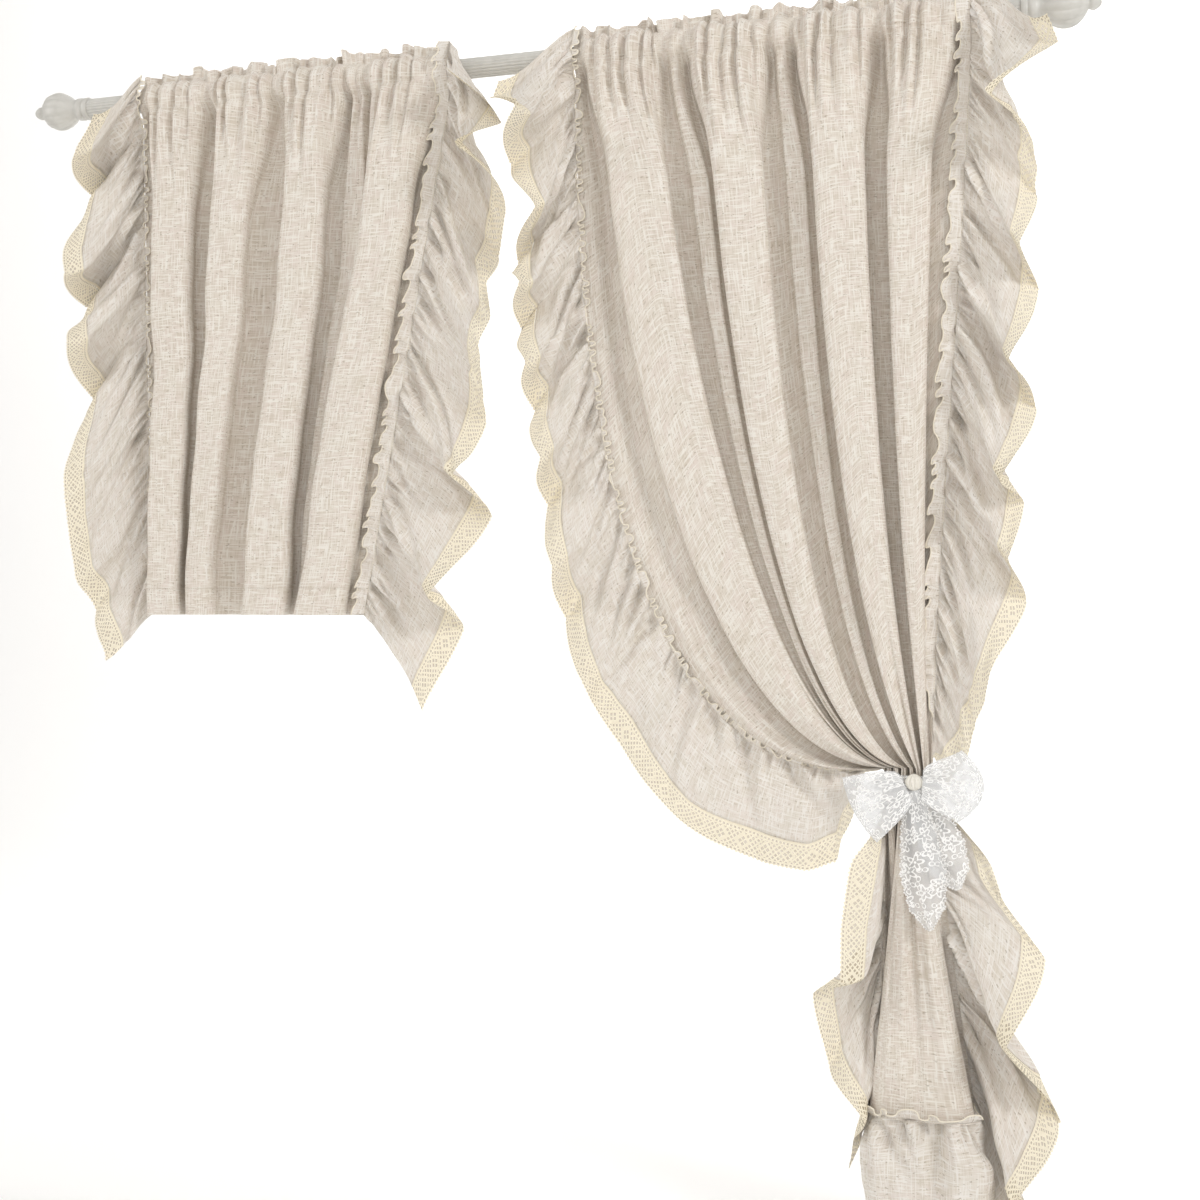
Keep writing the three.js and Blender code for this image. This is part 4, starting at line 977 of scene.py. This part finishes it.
def band():  # a ribbon round the gathered cloth, finely pleated
    size = bandSize
    r = size["round"] + size["skin"]
    x0, x1 = size["left"] - size["skin"], size["right"] + size["skin"]
    y0, y1 = size["front"] - size["skin"], size["back"] + size["skin"]
    corners = [(x1 - r, y1 - r), (x0 + r, y1 - r), (x0 + r, y0 + r), (x1 - r, y0 + r)]
    ring = [(x + r * math.cos(a), y + r * math.sin(a)) for k, (x, y) in enumerate(corners)
            for a in np.linspace(k, k + 1, 8) * math.pi / 2]
    ring = np.array(ring + ring[:1])
    run = lengths(ring)
    fine = np.linspace(0, run[-1], size["columns"], endpoint=False)
    path = resampled(ring, run, fine)
    v = np.linspace(0, 1, size["rows"])[:, None]
    pleat = size["pleatDepth"] * np.sin(v * tau * size["pleats"] + 0.6 * waver(fine[None], 60, 71))
    away = unit(path - np.array([(x0 + x1) / 2, (y0 + y1) / 2]))
    height = np.broadcast_to(size["top"] - size["height"] * v, pleat.shape)
    grid = np.concatenate([path[None] + away[None] * pleat[..., None], height[..., None]], -1)
    uv = flatUv(fine, v * size["height"])
    piece = clothPiece("bowBandPiece", grid, uv, bowLace, size["thick"], closed=True)
    return dress(piece, "bow_lace", "bow_band")


def knot():  # a pinched band, pleated round the middle of the bow
    size = knotSize
    a, b = np.linspace(0, math.pi, 40)[:, None], np.linspace(0, tau, 96, endpoint=False)[None]
    pleats = 0.9 + size["pleatDepth"] * np.cos(size["pleats"] * b + 0.8 * np.sin(2 * a)) * np.sin(a)
    grid = np.stack([size["x"] + size["radius"] * np.sin(a) * np.cos(b) * pleats,
                     knotY + size["depth"] * np.sin(a) * np.sin(b) * pleats,
                     size["z"] + size["radius"] * np.cos(a) * np.ones_like(b)], -1)
    uv = flatUv(b * size["radius"], a * size["radius"])
    piece = clothPiece("bowKnotPiece", grid, uv, knotNet, closed=True)
    return dress(closePoles(piece), "bow_lace", "bow_knot")


def bowLoop(name, cadNode, side, slope, length, width, rounded, seed):
    axis = np.array([side * math.cos(slope), 0, -math.sin(slope)])
    cross = np.array([-axis[2], 0, axis[0]])
    root = np.array([knotSize["x"], knotY, knotSize["z"]]) + axis * (knotSize["radius"] + seamGap)
    turn, v = np.linspace(0, math.pi, 96)[:, None], np.linspace(-0.5, 0.5, 34)[None]
    swell = np.sin(turn)
    spread = mix(loopRoot, width, swell**0.55)
    outer = length * swell * (1 - rounded * (2 * v) ** 2 * swell)
    depth = -3 - mix(4, 11, swell**0.5) * np.cos(turn)
    ripple = (2.6 * np.sin(v * tau * 2.6 + seed) * (1 - swell**3) * swell**0.4
              + 1.2 * waver(v * 100 + turn * 18, 40, seed))
    grid = (root + axis * outer[..., None] + cross * (v * spread)[..., None]
            + toWall * (depth + ripple * np.sign(np.cos(turn)))[..., None])
    uv = flatUv(v * width, turn / math.pi * 2 * length)
    piece = clothPiece(name + "Piece", grid, uv, bowLace, flip=side < 0)
    return dress(piece, "bow_lace", cadNode), grid


def bowEnd(name, cadNode, x, slope, length, y, seed):
    axis = np.array([math.sin(slope), 0, -math.cos(slope)])
    cross = np.array([axis[2], 0, -axis[0]])
    radius = knotSize["radius"]
    under = radius * math.sqrt(1 - (x / radius) ** 2 - (y / knotSize["depth"]) ** 2)
    root = np.array([knotSize["x"] + x, knotY + y, knotSize["z"] - under - bowGap])
    t, v = np.linspace(0, 1, 90)[:, None], np.linspace(-0.5, 0.5, 28)[None]
    wide = np.interp(t, *np.array(endRows).T)
    scallop = 1 + 0.05 * np.cos(tau * t * length / scallopPitch) * np.abs(2 * v) ** 3
    wave = 4 * np.sin(t * 5) + 3.5 * np.sin(v * tau * 1.2 + seed + t * 2) * ease(t / 0.3)
    grid = (root + axis * (t * length + 0 * v)[..., None] + cross * (v * wide * scallop)[..., None]
            + toWall * wave[..., None])
    piece = clothPiece(name + "Piece", grid, flatUv(v * 60, t * length), bowLace)
    return dress(piece, "bow_lace", cadNode), grid


bandPiece, knotPiece = band(), knot()
loops = [bowLoop(f"bowLoop{hand.title()}", f"bow_loop_{hand}", *loopSizes[hand], seed)
         for seed, hand in enumerate(loopSizes, 81)]
ends = [bowEnd(f"bowEnd{hand.title()}", f"bow_end_{hand}", *endSizes[hand], seed)
        for seed, hand in enumerate(endSizes, 91)]
print("bow made")


# stitches along the seams and the hem, and picots round the bow's free ends

for seed, (name, made) in enumerate(ruffles.items(), 500):
    seams = sew(name + "Seam", runs(made["seam"], made["visible"]), "linen", seed, creamThread)
    joint = sew(name + "LaceJoint", runs(made["joint"], made["visible"]), "lace", seed + 20, creamThread)
    made["clothTrims"], made["laceTrims"] = [seams] + made["frill"], [joint]

hemRow = -6
hemLine = shortGrid[hemRow] + surfaceNormals(shortGrid)[hemRow] * ruffleSize["over"]
shortSewing = sew("shortPanelStitching", [hemLine], "linen", 611, linenThread)

pearlLines = [np.concatenate([g[10:, 0], g[-1, :], g[:9:-1, -1]]) for _, g in ends]
pearls = grow("bowPicots", picots, pearlLines, {
    "Pitch": sewingSize["picotPitch"] * mm, "Bead": sewingSize["picot"] * mm, "Seed": 77,
    "Material": pearl})
dress(pearls, "bow_lace")
print("sewing made")


# what each sheet was cut to, in metres

loopWidth, endWidth = 0.11, 0.05
for name, made in ruffles.items():
    wide = footSize["cloth"] if name == "footRuffle" else ruffleSize["cloth"]
    laceWide = ruffleSize["laceShown"]
    panel = "shortPanelPiece" if "short" in name else "longPanelPiece"
    wide * mm
    made["areas"][0] / wide * mm
    made["areas"][1] / laceWide * mm
for piece, grid in loops:
    areaOf(grid) * 1e-6 / loopWidth
for piece, grid in ends:
    areaOf(grid) * 1e-6 / endWidth


# floor, light and camera, in metres

studio = dict(floor=-1.80, wall=3.6, bend=1.2, width=9.0, front=-5.0, top=6.0, dark=(0.95, 0.95, 0.948, 1),
              light=(0.97, 0.97, 0.968, 1), glow=(1, 0.97, 0.93, 1), glowStrength=0.53)
lights = dict(  # place, what it points at, size, watts, colour
    leftLight=((-4.2, -3.1, 1.6), (0, 0, -0.8), 1.8, 60, (1, 0.995, 0.985)),
    rightLight=((4.9, -2.9, 1.6), (0.2, 0, -0.8), 1.8, 104, (1, 0.995, 0.99)),
    frontFill=((0.9, -4.3, 0.3), (0.1, 0, -0.8), 2.6, 36, (1, 0.99, 0.98)),
    wallWash=((0, 0.6, 2.6), (0, 3.6, 1.8), 3.0, 150, (1, 1, 1)))
view = dict(place=(0.9593, -2.4753, -0.836), turn=18.28, lens=51.0, sensor=36.0)


def sweep():  # a pale floor that bends up into the backdrop
    s = studio
    a = np.linspace(0, math.pi / 2, 24)
    y = np.concatenate([[s["front"]], s["wall"] - s["bend"] + s["bend"] * np.sin(a), [s["wall"]]])
    z = np.concatenate([[s["floor"]], s["floor"] + s["bend"] * (1 - np.cos(a)), [s["top"]]])
    x = np.linspace(-s["width"], s["width"], 3)
    grid = np.stack(np.broadcast_arrays(x, y[:, None], z[:, None]), -1) / mm
    pale = makeGrained("paleFloor", s["dark"], s["light"], 3, {"Roughness": 0.95})
    piece = clothPiece("studioSweep", grid, np.zeros(grid.shape[:2] + (2,)), pale, flip=True)


def areaLight(name, place, target, size, power, colour):
    lamp = bpy.data.lights.new(name, "AREA")
    lamp.shape, lamp.size, lamp.energy, lamp.color = "DISK", size, power, colour
    x, y, z = np.array(target) - np.array(place)
    pitch, yaw = math.atan2(z, math.hypot(x, y)), math.atan2(y, x)
    holder = linked(name, lamp)
    holder.location = place
    holder.rotation_euler = (math.pi / 2 + pitch, 0, yaw - math.pi / 2)


sweep()
world = bpy.data.worlds.new("softStudio")
bpy.context.scene.world = world
world.use_nodes = True
glow = world.node_tree.nodes["Background"].inputs
glow["Color"].default_value = studio["glow"]
glow["Strength"].default_value = studio["glowStrength"]
for name, look in lights.items():
    areaLight(name, *look)

lens = bpy.data.cameras.new("photoCamera")
lens.lens, lens.sensor_width = view["lens"], view["sensor"]
camera = linked("photoCamera", lens)
camera.location = view["place"]
camera.rotation_euler = (math.pi / 2, 0, math.radians(view["turn"]))
bpy.context.scene.camera = camera
bpy.context.scene.view_settings.view_transform = "Standard"
print("studio made")
